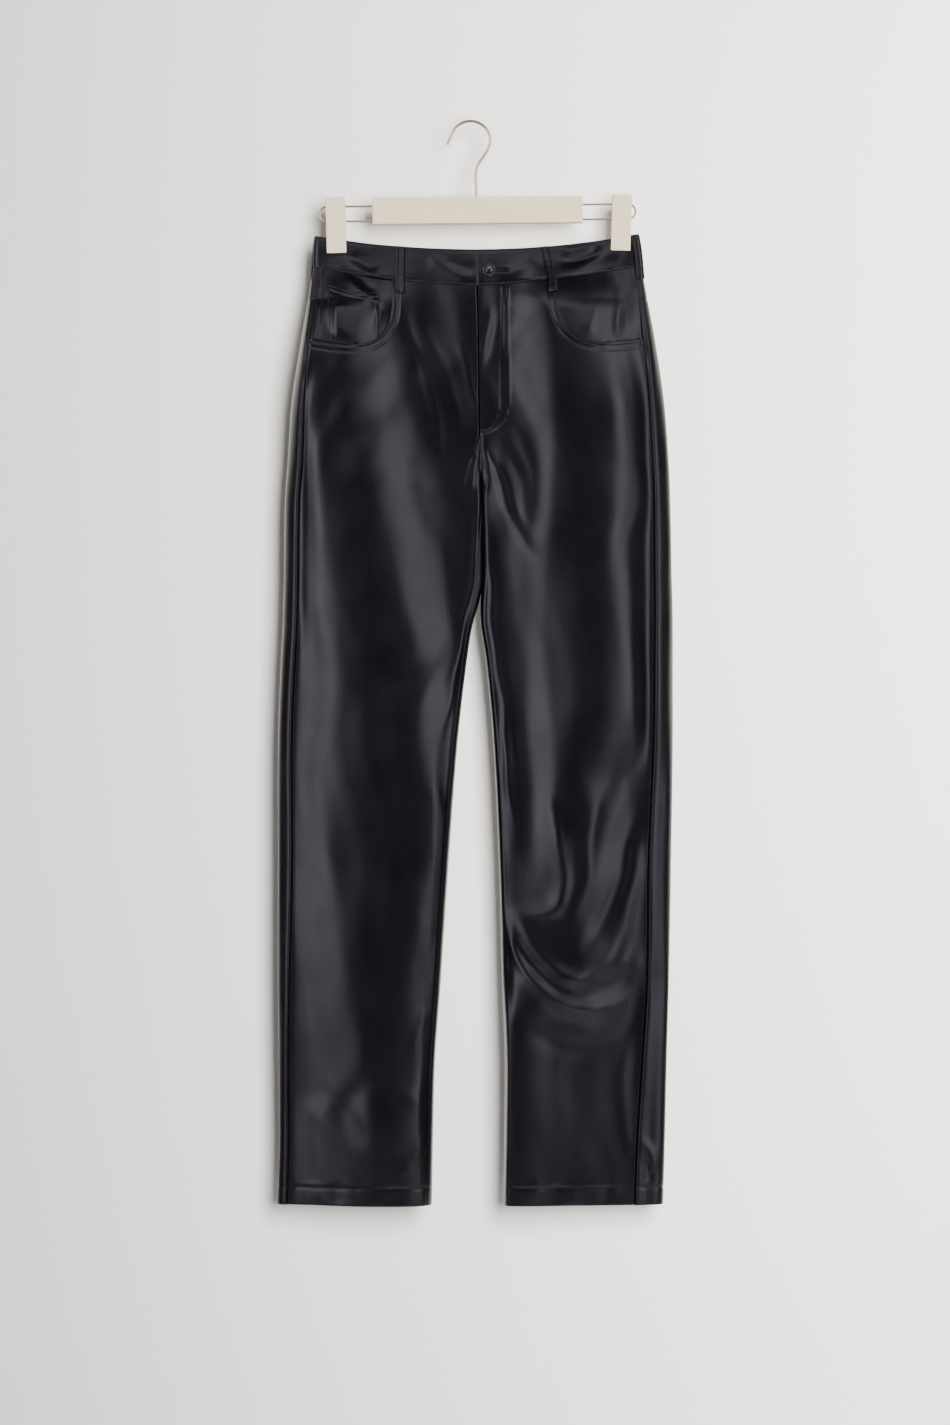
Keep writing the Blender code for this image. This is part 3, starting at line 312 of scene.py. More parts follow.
SIDE_STITCH_END = -374.0   # the side seams' topstitching ends here in a bar tack
FLY_STITCH_X = (33.6, 38.4)
FLY_TOP_Z, FLY_BEND_Z = -179.5, -292.0
FLY_UNDERLAP = 4.0
FLY_END = (10.0, -334.0)
GATHER_TOP, GATHER_END = -330.0, -402.0    # the crotch seam gathers the cloth between these

LOOP_WIDTH = 10.0
LOOP_WALL = 1.8
LOOP_LENGTH, LOOP_OVER_BAND = 52.0, 38.5
LOOP_EDGE_STEPS = (0.3, 0.5, 0.8)
LOOP_X = {RIGHT: (-75.8, -75.8), LEFT: (79.0, 86.0)}   # x at the top and at the bottom
LOOP_BACK_X = 12.1
LOOP_END_LEVEL = 0.014
SIDE_LOOP_FROM_EDGE = (9.3, 0.4)   # where its two sides lie, in from the outer edge

BUTTON_X, BUTTON_Z = 18.8, -161.3
BUTTON_RADIUS = 7.3
HOLE_START, HOLE_END = 4.0, 20.0   # the buttonhole's slit, from the button's centre
UNDER_TAB = 5.0                    # how far the right waistband goes on under the left one


# ---- the cloth's surface

def smooth(value):
    value = np.clip(value, 0.0, 1.0)
    return value * value * (3 - 2 * value)


def mix(first, second, share):
    return first + (second - first) * share


def bell(distance, width):
    return np.exp(-((distance / width) ** 2))


def running_total(steps):
    return np.concatenate(([0.0], np.cumsum(steps)))


def step_lengths(points, axis=0):
    return np.linalg.norm(np.diff(points, axis=axis), axis=-1)


def cubic(t, start, end, slope_start, slope_end):
    """The curve from start to end as t goes from 0 to 1, with the given slopes at both."""
    return ((2 * t**3 - 3 * t**2 + 1) * start + (t**3 - 2 * t**2 + t) * slope_start
            + (3 * t**2 - 2 * t**3) * end + (t**3 - t**2) * slope_end)


def rows_at(table, z):
    """Each column of a table at the heights z, on cubics through its rows."""
    z = np.clip(z, table[-1, 0], table[0, 0])
    low = np.clip(np.searchsorted(-table[:, 0], -z), 1, len(table) - 1)
    before, upper = table[np.maximum(low - 2, 0)], table[low - 1]
    lower, after = table[low], table[np.minimum(low + 1, len(table) - 1)]
    step = lower[..., :1] - upper[..., :1]
    t = (z[..., None] - upper[..., :1]) / step
    slope_up = (lower - before) / (lower[..., :1] - before[..., :1]) * step
    slope_down = (after - upper) / (after[..., :1] - upper[..., :1]) * step
    return np.moveaxis(cubic(t, upper, lower, slope_up, slope_down), -1, 0)


def section(z):
    return Section(*rows_at(SECTIONS, np.asarray(z, float)))


def leg_edges(side, z):
    row = section(z)
    if side == LEFT:
        return row.left_edge, row.left_inner
    return row.right_edge, row.right_inner


def off_waist_centre(x):
    return np.minimum(np.abs(x - WAIST_CENTRE) / WAIST_HALF_WIDTH, 1.0)


def band_top(x):
    side_top = np.where(x > WAIST_CENTRE, BAND_TOP_SIDE[LEFT], BAND_TOP_SIDE[RIGHT])
    return mix(BAND_TOP_CENTRE, side_top, off_waist_centre(x) ** BAND_SAG_POWER)


def seam_height(x):
    return band_top(x) - mix(BAND_HEIGHT_CENTRE, BAND_HEIGHT_SIDE, off_waist_centre(x))


def height(x, level):
    """z of a level at x."""
    seam = seam_height(x)
    return np.where(level < 0, mix(seam, band_top(x), -level), mix(seam, HEM, level))


def level_of(x, z):
    seam = seam_height(x)
    return np.where(z > seam, -(z - seam) / (band_top(x) - seam), (seam - z) / (seam - HEM))


def closing(level):
    """How far a leg has closed to a tube of its own: 0 at the fly's end, 1 from the crotch on."""
    drop = np.clip((level - FLY_END_LEVEL) / (CROTCH_LEVEL - FLY_END_LEVEL), 0.0, 1.0)
    return 1 - np.sqrt(1 - drop * drop)


def curve_through(points, steps):
    """Points on a smooth curve through the given ones, in steps between each two."""
    p = np.array(points, float)
    p = np.vstack((2 * p[0] - p[1], p, 2 * p[-1] - p[-2]))
    t = (np.arange(steps) / steps)[None, :, None]
    a, b, c, d = (p[i:len(p) - 3 + i, None] for i in range(4))
    curve = 0.5 * (2 * b + (c - a) * t + (2 * a - 5 * b + 4 * c - d) * t**2
                   + (3 * b - a - 3 * c + d) * t**3)
    return np.vstack((curve.reshape(-1, p.shape[1]), p[-2]))


def from_line(line, x, z):
    """How far points lie from a line, on which side (+ is +X of a falling line), and how far
    along the line they are, from 0 to 1."""
    lengths = step_lengths(line)
    run = running_total(lengths)
    best = np.full(x.shape, np.inf)
    hand, along = np.zeros(x.shape), np.zeros(x.shape)
    for (ax, az), (bx, bz), length, start in zip(line, line[1:], lengths, run):
        dx, dz = bx - ax, bz - az
        t = np.clip(((x - ax) * dx + (z - az) * dz) / length**2, 0.0, 1.0)
        off_x, off_z = x - ax - t * dx, z - az - t * dz
        distance = np.hypot(off_x, off_z)
        closer = distance < best
        best = np.where(closer, distance, best)
        hand = np.where(closer, np.sign(dx * off_z - dz * off_x), hand)
        along = np.where(closer, (start + t * length) / run[-1], along)
    return best, hand, along


def crease_height(creases, x, z):
    """The creases' heights added up. Their lines are warped a little, so that none is straight."""
    warped_x = x + 1.6 * np.sin(z / 23 + x / 57) + 0.8 * np.sin(z / 9.7)
    warped_z = z + 1.8 * np.sin(x / 19 + 1.1)
    total = np.zeros(x.shape)
    for crease in creases:
        line = curve_through(crease.line, 6)
        reach = 3.6 * max(crease.left, crease.right)
        low, high = line.min(0) - reach, line.max(0) + reach
        near = ((warped_x > low[0]) & (warped_x < high[0])
                & (warped_z > low[1]) & (warped_z < high[1]))
        distance, hand, along = from_line(line, warped_x[near], warped_z[near])
        width = mix(crease.left, crease.right, smooth(0.5 + 0.5 * hand * distance / 3))
        c, spread = crease.crest, (distance / width) ** 2
        fall = np.exp(-2 * c * (np.sqrt(c * c + spread) - c) - spread * c)
        fade = smooth(along * 4) * smooth((1 - along) * 4)
        total[near] += crease.height * fade * fall
    return total


def hang_depth(side, x, z):
    """The broad form of a leg's front: a smooth curve across, through the eight places."""
    row = rows_at(HANG[side], np.asarray(z, float))
    xs, depths = row[1::2], row[2::2]
    slopes = np.diff(depths, axis=0) / np.diff(xs, axis=0)
    flat = np.zeros_like(slopes[:1])
    tangents = np.concatenate((flat, (slopes[:-1] + slopes[1:]) / 2, flat))
    total = np.where(x <= xs[0], depths[0], depths[-1])
    for i in range(len(slopes)):
        width = xs[i + 1] - xs[i]
        t = (x - xs[i]) / width
        curve = cubic(t, depths[i], depths[i + 1], width * tangents[i], width * tangents[i + 1])
        total = np.where((t > 0) & (t <= 1), curve, total)
    return total


def turned_in(distance, width):
    """From 0 at an edge to 1 where the cloth has turned to face forward."""
    past = np.clip(1 - distance / width, 0.0, 1.0)
    return (1 - past**2.2) ** (1 / 2.2)


def undulation(x, z, phase):
    """The slight unevenness of a coated cloth that has hung for a while."""
    slow = np.sin(x / 21 + 1.7 * np.sin(z / 63 + phase) + phase) * np.sin(z / 88 + x / 47 + phase)
    quick = np.sin(x / 8.3 + 1.3 * np.sin(z / 29 + phase)) * np.sin(z / 34 + x / 13 + 2 * phase)
    return 0.55 * slow + 0.16 * quick


def pressed_depth(side, x, edge, depth, inset):
    """The waist's depth, which its clip presses flat, and which opens towards the centre."""
    from_edge = np.abs(edge - x)
    flat, turn = PINCH - inset, EDGE_ROUND - inset
    rounding = np.sqrt(np.clip(1 - (1 - from_edge / np.maximum(turn, 0.1)) ** 2, 0.0, 1.0))
    clip = CLIP_INNER_EDGE[side]
    opened = flat + (depth - PINCH) * smooth((x - clip) / (WAIST_CENTRE - clip))
    return np.where(from_edge < turn, flat * rounding, opened)


def seam_inset(side, row):
    return row.left_seam if side == LEFT else row.right_seam


def edge_ridge(side, from_edge, row, z):
    """The side seam's allowances, pressed towards the back, lift a roll just outside the seam."""
    lift, inner_reach, outer_reach = EDGE_RIDGE[side]
    past = from_edge - (seam_inset(side, row) - EDGE_RIDGE_STEP)
    shown = smooth((EDGE_RIDGE_START - z) / 90)
    return shown * lift * bell(past, np.where(past > 0, inner_reach, outer_reach))


def across_leg(side, across, level, inset, closed):
    """x and z, the outer and inner edges of the leg there, and both edges of the inset face."""
    x = np.full(across.shape, side * NEAR_MIDDLE_X)
    for _ in range(5):
        z = height(x, level)
        outer, inner = leg_edges(side, z)
        edge = outer - side * inset
        shut = 0.9 * smooth((z - THIGHS_TOUCH_END) / 16)    # leaves a hair's gap between them
        inner_edge = inner + side * (np.minimum(inset, 0.2) - shut) * closed
        x = (edge + inner_edge) / 2 + across * (edge - inner_edge) / 2
    return x, z, outer, inner, edge, inner_edge


def folds_at(x, z, in_front, level, creases):
    """The creases and slight waves on the broad form. Given creases are a waistband's or a
    facing's, which keep to the front; with None they are the legs' own, below the waistband."""
    fx, fz, bx, bz = x[in_front], z[in_front], x[~in_front], z[~in_front]
    folds = np.zeros(x.shape)
    if creases is None:
        folds[in_front] = crease_height(FRONT_CREASES, fx, fz) + undulation(fx, fz, 0.0)
        folds[~in_front] = crease_height(BACK_CREASES, bx, bz) + undulation(bx, bz, 2.0)
        return folds * smooth((level + 0.02) / 0.03)
    folds[in_front] = crease_height(creases, fx, fz) + 0.4 * undulation(fx, fz, 4.0)
    folds[~in_front] = 0.4 * undulation(bx, bz, 5.0)
    return folds


def surface(side, turn, level, inset=0.0, creases=None):
    """Points of the cloth, in mm.

    turn 0 is the outer edge, pi the centre seam or inner edge over the front, and -pi the same
    over the back. inset is how far a point lies inside the outer face.
    """
    turn, level, inset = np.broadcast_arrays(turn, level, np.asarray(inset, float))
    across, closed = np.cos(turn), closing(level)
    x, z, outer, inner, edge, inner_edge = across_leg(side, across, level, inset, closed)
    row = section(z)
    # at the inseam a back panel goes round a little way over the front, past -pi
    in_front = (turn >= 0) | (turn < -math.pi - 1e-9)
    rise = np.sqrt(np.clip(1 - np.abs(across) ** ROUNDNESS, 0.0, 1.0))
    leg_shape = rise ** (2 / ROUNDNESS)
    off_centre = np.minimum(np.abs(x - inner) / np.abs(edge - inner), 1.0)
    body_shape = (1 - off_centre**ROUNDNESS) ** (1 / ROUNDNESS)
    near_centre = smooth(1 - off_centre / CROTCH_REACH)
    parting = smooth((level - PARTING_START) / (PARTING_END - PARTING_START))
    behind = (row.back - inset) * mix(body_shape, leg_shape, mix(parting, closed, near_centre))
    outer_turn = turned_in(np.abs(edge - x), OUTER_TURN[side])
    inner_turn = turned_in(np.abs(x - inner_edge), INNER_TURN)
    parted = smooth((level - PARTED_START) / (CROTCH_LEVEL - PARTED_START))
    before = (hang_depth(side, x, z) - inset) * outer_turn * mix(1.0, inner_turn, parted)
    release = smooth((PINCH_END - z) / np.where(in_front, *PINCH_RELEASE))
    pressed = pressed_depth(side, x, edge, np.where(in_front, row.front, row.back), inset)
    depth = mix(pressed, np.where(in_front, before, behind), release)
    near_edge = 1 - smooth(1.6 * rise)
    free = 1 - np.where(across > 0, near_edge, near_edge * closed)
    ridge = edge_ridge(side, np.abs(outer - x), row, z) * in_front * (across > 0)
    depth = depth + folds_at(x, z, in_front, level, creases) * free + ridge
    return np.stack((x, np.where(in_front, -depth, depth), z), axis=-1)


def turn_at_x(side, level, x):
    outer, inner = leg_edges(side, height(x, level))
    return np.arccos(np.clip((2 * x - outer - inner) / (outer - inner), -1.0, 1.0))


def turn_at_edge(side, level, from_edge):
    x = np.broadcast_to(side * NEAR_EDGE_X, np.broadcast(level, from_edge).shape)
    for _ in range(4):
        outer, _inner = leg_edges(side, height(x, level))
        x = outer - side * from_edge
    return turn_at_x(side, level, x)


def side_seam_turn(side, level):
    row = section(height(side * NEAR_EDGE_X, np.asarray(level, float)))
    return turn_at_edge(side, level, seam_inset(side, row))


def inseam_turn(side, level):
    shown = smooth((level - CROTCH_LEVEL) / (INSEAM_LEVEL - CROTCH_LEVEL))
    _outer, inner = leg_edges(side, height(side * NEAR_INSEAM_X, level))
    shown_turn = turn_at_x(side, level, inner + side * INSEAM_INSET[side] * shown)
    return np.where(INSEAM_INSET[side] * shown > 0, shown_turn, math.pi)


def yoke_level(turn):
    return mix(YOKE_LEVEL_SIDE, YOKE_LEVEL_CENTRE, (1 - np.cos(turn)) / 2)


# ---- sewn lines

def scoop_corner(curve_power, shares):
    """(across, down) shares along a quarter superellipse from (1, 0) to (0, 1), by arc length."""
    turns = np.linspace(0, math.pi / 2, 400)
    curve = np.stack((np.cos(turns).clip(0) ** (2 / curve_power),
                      np.sin(turns) ** (2 / curve_power)), axis=-1)
    run = running_total(step_lengths(curve))
    return [np.interp(shares * run[-1], run, column) for column in curve.T]


def mouth(side, shares):
    """x and level along a pocket mouth's edge, from the waist seam to the side seam."""
    across, down = scoop_corner(SCOOPS[side].power, shares)
    level = POCKET_LEVEL * down
    seam_x = surface(side, side_seam_turn(side, level), level)[..., 0]
    return mix(seam_x, SCOOPS[side].start_x, across), level


def mouth_line(side):
    x, level = mouth(side, np.linspace(0, 1, 60))
    return np.stack((x, height(x, level)), axis=-1)


def shifted(line, distance):
    """The line moved sideways, towards +X where it falls."""
    ahead = np.gradient(line, axis=0)
    ahead /= np.hypot(*ahead.T)[:, None]
    return line + distance * np.stack((-ahead[:, 1], ahead[:, 0]), axis=-1)


def fly_line(x):
    """One row of the fly's stitching: down, then round to the fly's end."""
    end_x, end_z = FLY_END
    turns = np.linspace(0, math.pi / 2, 24)
    bend = np.stack((end_x + (x - end_x) * np.cos(turns) ** 0.8,
                     FLY_BEND_Z - (FLY_BEND_Z - end_z) * np.sin(turns) ** 0.9), axis=-1)
    straight = np.stack((np.full(20, x), np.linspace(FLY_TOP_Z, FLY_BEND_Z + 4, 20)), axis=-1)
    return np.vstack((straight, bend))


MOUTH_LINES = {side: mouth_line(side) for side in (LEFT, RIGHT)}
FLY_LINES = [fly_line(x) for x in FLY_STITCH_X]


def groove(distance):
    """A stitched row pulls the cloth down in a narrow groove."""
    return GROOVE_DEPTH * bell(distance, GROOVE_WIDTH)


def pucker(run, strength):
    """Uneven little gathers along a sewn line; run is how far along it is, in mm."""
    return strength * (np.sin(run / 2.3 + 1.4 * np.sin(run / 17)) * (0.6 + 0.4 * np.sin(run / 11)))


def hem_sewing(x, z):
    from_row = z - (HEM + HEM_DEPTH)
    return groove(from_row) + pucker(x, 0.12) * bell(from_row, 7)


def front_sewing(side, x, z):
    """How far the sewing draws a front panel in (+) or lifts it (-)."""
    total = np.zeros(x.shape)
    near = z > GATHER_TOP - 15
    px, pz = x[near], z[near]
    from_mouth, _hand, along = from_line(MOUTH_LINES[side], px, pz)
    inside = MOUTH_PULL * sum(groove(from_mouth - row) for row in TOPSTITCH)
    inside -= 0.2 * bell(from_mouth - sum(TOPSTITCH) / 2, 2.0)
    inside += pucker(along * MOUTH_LENGTH, 0.10) * bell(from_mouth - 5, 5)
    if side == LEFT:
        for line in FLY_LINES:
            distance, _hand, _along = from_line(line, px, pz)
            inside += FLY_PULL * groove(distance)
        middle = (FLY_LINES[0] + FLY_LINES[1]) / 2
        distance, hand, along = from_line(middle, px, pz)
        inside -= 0.45 * bell(distance, 1.7)
        inside -= 0.3 * smooth(-hand * distance / 4) * (pz > FLY_END[1])
        inside += pucker(along * FLY_LENGTH, 0.08) * bell(distance, 5)
    total[near] = inside
    gather = smooth((z - GATHER_END) / 30) * smooth((GATHER_TOP - z) / 14)
    from_centre = np.abs(x - leg_edges(side, z)[1])
    total += gather * bell(from_centre, 5) * pucker(z, 0.45)
    total += 0.6 * gather * bell(from_centre, 1.6)
    return total + hem_sewing(x, z)


# ---- making pieces

def spaced(length, cell, start=(), end=()):
    """Shares from 0 to 1 along a length: fine steps at each end, and even cells between. All
    three are in mm, and the length is only the rough one of the piece."""
    first = running_total(start)
    last = length - running_total(end)[::-1]
    count = max(int(round((last[0] - first[-1]) / cell)), 1)
    middle = np.linspace(first[-1], last[0], count + 1)[1:-1]
    return np.concatenate((first, middle, last)) / length


# Rough sizes of the pieces, which set how many cells each one has
EDGE_STEPS = (0.15, 0.25, 0.4, 0.6)
THIGH_LEVEL, SHIN_LEVEL = 0.25, 0.96   # where the cells of a leg's grid change size
FRONT_THIGH, BACK_THIGH, SHIN, HEM_STRIP = 172.0, 246.0, 704.0, 40.0   # lengths of those parts
FRONT_WIDTH, BACK_WIDTH = 176.0, 226.0
YOKE_DROP, BAND_DROP = 50.0, 39.0
FACING_WIDTH, FACING_DROP = 96.0, 92.0
COIN_POCKET_WIDTH, COIN_POCKET_DROP = 46.0, 60.0


def roll(distance, radius=EDGE_ROLL):
    """How far a turned edge falls away, at a distance in from it."""
    past = np.clip(1 - distance / radius, 0.0, 1.0)
    return radius * (1 - np.sqrt(1 - past * past))


def border_distances(points):
    """How far each point of a grid lies from the grid's four borders, along it."""
    from_start = np.pad(np.cumsum(step_lengths(points, 1), axis=1), ((0, 0), (1, 0)))
    from_top = np.pad(np.cumsum(step_lengths(points), axis=0), ((1, 0), (0, 0)))
    return (from_start, from_start[:, -1:] - from_start, from_top, from_top[-1:] - from_top)


def new_object(name, bm):
    """Puts a bmesh in the scene as an object."""
    mesh = bpy.data.meshes.new(name)
    bm.to_mesh(mesh)
    bm.free()
    made = bpy.data.objects.new(name, mesh)
    bpy.context.scene.collection.objects.link(made)
    return made


def finish_piece(piece, slot_name, material, *nodes):
    piece.data.materials.append(material)
    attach(piece, "root")
    if nodes:
        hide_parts(*nodes)


def cloth(name, points, wall, leather, node):
    """A sheet of cloth over a grid of points in mm, with its outer face away from y = 0."""
    rows, columns = points.shape[:2]
    bm = bmesh.new()
    bmesh.ops.create_grid(bm, x_segments=columns - 1, y_segments=rows - 1, size=0.5)
    piece = new_object(name, bm)
    mesh = piece.data
    flat = np.empty(len(mesh.vertices) * 3)
    mesh.vertices.foreach_get("co", flat)
    shares = flat.reshape(-1, 3)[:, :2] + 0.5
    column, row = np.rint(shares * (columns - 1, rows - 1)).astype(int).T
    mesh.vertices.foreach_set("co", (points[row, column] * MM).ravel())
    mesh.update()
    normals, centres = np.empty((2, len(mesh.polygons) * 3))
    mesh.polygons.foreach_get("normal", normals)
    mesh.polygons.foreach_get("center", centres)
    if normals[1::3] @ centres[1::3] < 0:
        mesh.flip_normals()
    mesh.shade_smooth()
    thickness = piece.modifiers.new("wall", "SOLIDIFY")
    thickness.thickness = wall * MM
    thickness.offset = -1.0
    finish_piece(piece, "faux_leather", leather, node)


def stitch_places(line):
    """A row's stitches, as matrices that take a unit ball to each one's place and shape."""
    size = Matrix.Diagonal((THREAD_RADIUS, THREAD_RADIUS, STITCH_LENGTH / 2, 1.0))
    run = running_total(step_lengths(line))
    middles = np.arange(STITCH_LENGTH / 2, run[-1], STITCH_LENGTH + STITCH_GAP)
    behind, centre, ahead = (
        np.stack([np.interp(middles + shift, run, column) for column in line.T], axis=-1)
        for shift in (-0.9, 0.0, 0.9))
    return [Matrix.Scale(MM, 4) @ Matrix.Translation(middle)
            @ Vector(end - start).to_track_quat("Z", "Y").to_matrix().to_4x4() @ size
            for start, middle, end in zip(behind, centre, ahead)]


def stitches(name, lines, material):
    """Rows of short raised stitches along 3-D lines in mm, joined in one piece."""
    whole, batch = bmesh.new(), bpy.data.meshes.new("stitch_batch")
    places = [place for line in lines for place in stitch_places(line)]
    for first in range(0, len(places), 40):
        bm = bmesh.new()
        for place in places[first:first + 40]:
            bmesh.ops.create_uvsphere(bm, u_segments=6, v_segments=4, radius=1.0, matrix=place)
        bm.to_mesh(batch)
        bm.free()
        whole.from_mesh(batch)
    bpy.data.meshes.remove(batch)
    piece = new_object(name, whole)
    piece.data.shade_smooth()
    finish_piece(piece, "faux_leather", material)


# ---- panels

def leg_levels(top, top_shares, cell):
    """Levels down a leg, below the top: the given shares to the thigh, then even cells, and
    finer ones at the hem."""
    return np.concatenate((
        mix(top, THIGH_LEVEL, top_shares),
        mix(THIGH_LEVEL, SHIN_LEVEL, spaced(SHIN, cell))[1:],
        mix(SHIN_LEVEL, 1.0, spaced(HEM_STRIP, 1.8, (), EDGE_STEPS))[1:]))[1:]


def front_grid(side):
    """Turn and level over a front panel, whose outer edge is first the pocket mouth."""
    scoop_shares = spaced(MOUTH_LENGTH, 2.4, (0.3, 0.5, 0.8))
    mouth_x, mouth_level = mouth(side, scoop_shares)
    seam_levels = leg_levels(POCKET_LEVEL, spaced(FRONT_THIGH, 1.7), 3.2)
    outer_turn = np.concatenate((turn_at_x(side, mouth_level, mouth_x),
                                 side_seam_turn(side, seam_levels)))
    inner_turn = np.concatenate((np.full(len(scoop_shares), math.pi),
                                 inseam_turn(side, seam_levels)))
    outer_level = np.concatenate((mouth_level, seam_levels))
    inner_level = np.concatenate((POCKET_LEVEL * scoop_shares, seam_levels))
    shares = spaced(FRONT_WIDTH, 2.9, EDGE_STEPS + (0.8,) * 12,
                    (0.3, 0.4) + (0.5,) * 13 + (1.2,) * 20)
    return (mix(outer_turn[:, None], inner_turn[:, None], shares),
            mix(inner_level[:, None], outer_level[:, None], (1 - shares) ** 1.5))


def fly_tuck(from_centre, level):
    """The right front goes on a little way under the left front's fly edge."""
    shown = smooth((FLY_END_LEVEL + 0.03 - level) / 0.02)
    return 2.2 * (1 - smooth((from_centre - FLY_UNDERLAP + 0.3) / 2.0)) * shown


def front_panel(side, leather):
    turn, level = front_grid(side)
    plain = surface(side, turn, level)
    from_mouth, from_centre, _from_top, from_hem = border_distances(plain)
    seam_roll = np.where(level < POCKET_LEVEL, MOUTH_ROLL, SEAM_ROLL)
    inset = (roll(from_mouth, seam_roll) + front_sewing(side, plain[..., 0], plain[..., 2])
             + roll(from_hem))
    edge_level = level[:, -1:]
    # down to the fly's end the left front's edge is free, and below it both are sewn together
    if side == LEFT:
        fly = smooth((FLY_END_LEVEL + 0.004 - edge_level) / 0.008)
        inset = inset + roll(from_centre, 0.4) - 0.3 * fly * bell(from_centre, 9)
        closed_seam = 1 - fly
    else:
        inset = inset + fly_tuck(from_centre, level)
        closed_seam = smooth((edge_level - FLY_END_LEVEL) / 0.01)
    inset = inset + 0.8 * closed_seam * bell(from_centre, 2.2)
    points = surface(side, turn, level, inset)
    if side == RIGHT:
        shown = smooth((FLY_END_LEVEL + 0.02 - level) / 0.02)
        points[..., 0] += FLY_UNDERLAP * shown * smooth(1 - from_centre / 24)
    hand = SIDE_NAMES[side]
    cloth(f"{hand}_leg_front", points, CLOTH, leather, f"front_{hand}")


BACK_SHARES = spaced(BACK_WIDTH, 3.0, EDGE_STEPS + (1.0,) * 34, EDGE_STEPS + (1.4,) * 8)


def back_turn(side, level):
    """Turns across a back piece, from the side seam to the centre seam or the inseam."""
    return mix(side_seam_turn(side, level), inseam_turn(side, level) - 2 * math.pi, BACK_SHARES)


def back_panel(side, leather):
    levels = leg_levels(0.0, spaced(BACK_THIGH, 2.6, EDGE_STEPS), 3.4)
    top = yoke_level(back_turn(side, levels[:1, None]))
    level = mix(top, 1.0, ((levels - levels[0]) / (1 - levels[0]))[:, None])
    turn = back_turn(side, level)
    plain = surface(side, turn, level)
    from_seam, from_centre, from_top, from_hem = border_distances(plain)
    x, z = plain[..., 0], plain[..., 2]
    stitched = smooth((z - SIDE_STITCH_END) / 4)
    inset = (roll(from_seam, SEAM_ROLL) + roll(from_centre) + roll(from_top) + roll(from_hem)
             + hem_sewing(x, z) + groove(from_seam - SEAM_STITCH) * stitched
             + groove(from_top - SEAM_STITCH))
    points = surface(side, turn, level, inset)
    hand = SIDE_NAMES[side]
    cloth(f"{hand}_leg_back", points, CLOTH, leather, f"back_{hand}")


def back_yoke(side, leather):
    down = spaced(YOKE_DROP, 1.8, EDGE_STEPS, EDGE_STEPS)
    level = yoke_level(back_turn(side, np.full((1, 1), YOKE_LEVEL_SIDE))) * down[:, None]
    turn = back_turn(side, level)
    plain = surface(side, turn, level)
    from_seam, from_centre, _from_top, from_yoke = border_distances(plain)
    inset = roll(from_seam) + roll(from_centre) + roll(from_yoke) + groove(from_seam - SEAM_STITCH)
    points = surface(side, turn, level, inset)
    hand = SIDE_NAMES[side]
    cloth(f"{hand}_back_yoke", points, CLOTH, leather, f"yoke_{hand}")


# ---- waistband

def band_turns(side):
    """Turns from the front centre over the outer edge to the back centre."""
    front = turn_at_x(side, -0.5, np.linspace(leg_edges(side, -140.0)[1], side * 150.0, 76))
    near_edge = turn_at_edge(side, -0.5, np.array(
        (26, 22, 18, 15, 12, 10, 8.5, 7, 6, 5, 4, 3.2, 2.5, 1.8, 1.2, 0.7, 0.3, 0.0)))
    over = np.concatenate((front[front > near_edge[0] + 0.005], near_edge))
    return np.concatenate((over, -over[-2::-1]))


def waistband(side, leather):
    turns = band_turns(side)
    if side == LEFT:
        tip = mix(turns[0], turns[1], np.array((0.0, 0.06, 0.16, 0.3, 0.6)))
        turns = np.concatenate((tip, turns[1:]))
    down = spaced(BAND_DROP, 1.3, EDGE_STEPS, EDGE_STEPS)
    turn, level = np.broadcast_arrays(turns[None, :], (down - 1)[:, None])
    plain = surface(side, turn, level, 0.0, BAND_CREASES)
    from_front, _from_back, from_top, from_seam = border_distances(plain)
    x, z = plain[..., 0], plain[..., 2]
    inset = roll(from_top) + roll(from_seam) - BAND_PROUD
    inset -= 0.7 * smooth(np.minimum(from_top, from_seam) / 14)    # a folded band puffs up
    for from_edge in (from_top, from_seam):
        inset += groove(from_edge - SEAM_STITCH) + pucker(x, 0.09) * bell(from_edge, 5)
    if side == LEFT:
        # the tab's end stands up a little, and the buttonhole's slit lies in it
        inset += roll(from_front) + groove(from_front - SEAM_STITCH) - 0.5 * bell(from_front, 14)
        past_middle = np.abs(x - BUTTON_X - (HOLE_START + HOLE_END) / 2)
        past_end = np.maximum(past_middle - (HOLE_END - HOLE_START) / 2, 0)
        inset += 1.7 * bell(np.hypot(past_end, z - BUTTON_Z), 1.0) * (turn > 0)
    else:
        inset += 2.6 * smooth(1 - from_front / 5)
    points = surface(side, turn, level, inset, BAND_CREASES)
    if side == RIGHT:
        points[..., 0] += UNDER_TAB * smooth(1 - from_front / 20)
    else:
        # the tab's lower corner is rounded
        corner = np.hypot(np.maximum(5 - from_front, 0), np.maximum(5 - from_seam, 0))
        points[..., 2] += 0.9 * smooth(corner / 5 - 0.6)
    hand = SIDE_NAMES[side]
    cloth(f"{hand}_waistband", points, BAND_WALL, leather, f"waistband_{hand}")


# ---- pockets

def facing_depth(side, x, level):
    """Flush with its seams in the open mouth, and behind the front panel from its edge on."""
    scoop = SCOOPS[side]
    seam_x = surface(side, side_seam_turn(side, level), level)[..., 0]
    across = np.maximum((x - seam_x) / (scoop.start_x - seam_x), 0.0)
    reach = (across**scoop.power + (level / POCKET_LEVEL) ** scoop.power) ** (1 / scoop.power)
    deepest = CLOTH + FACING_GAP[side]
    shallow = mix(1.5 / deepest, 1.0, smooth(across / 0.2))
    return deepest * shallow * smooth((reach - MOUTH_FLUSH) / (MOUTH_DEEP - MOUTH_FLUSH))


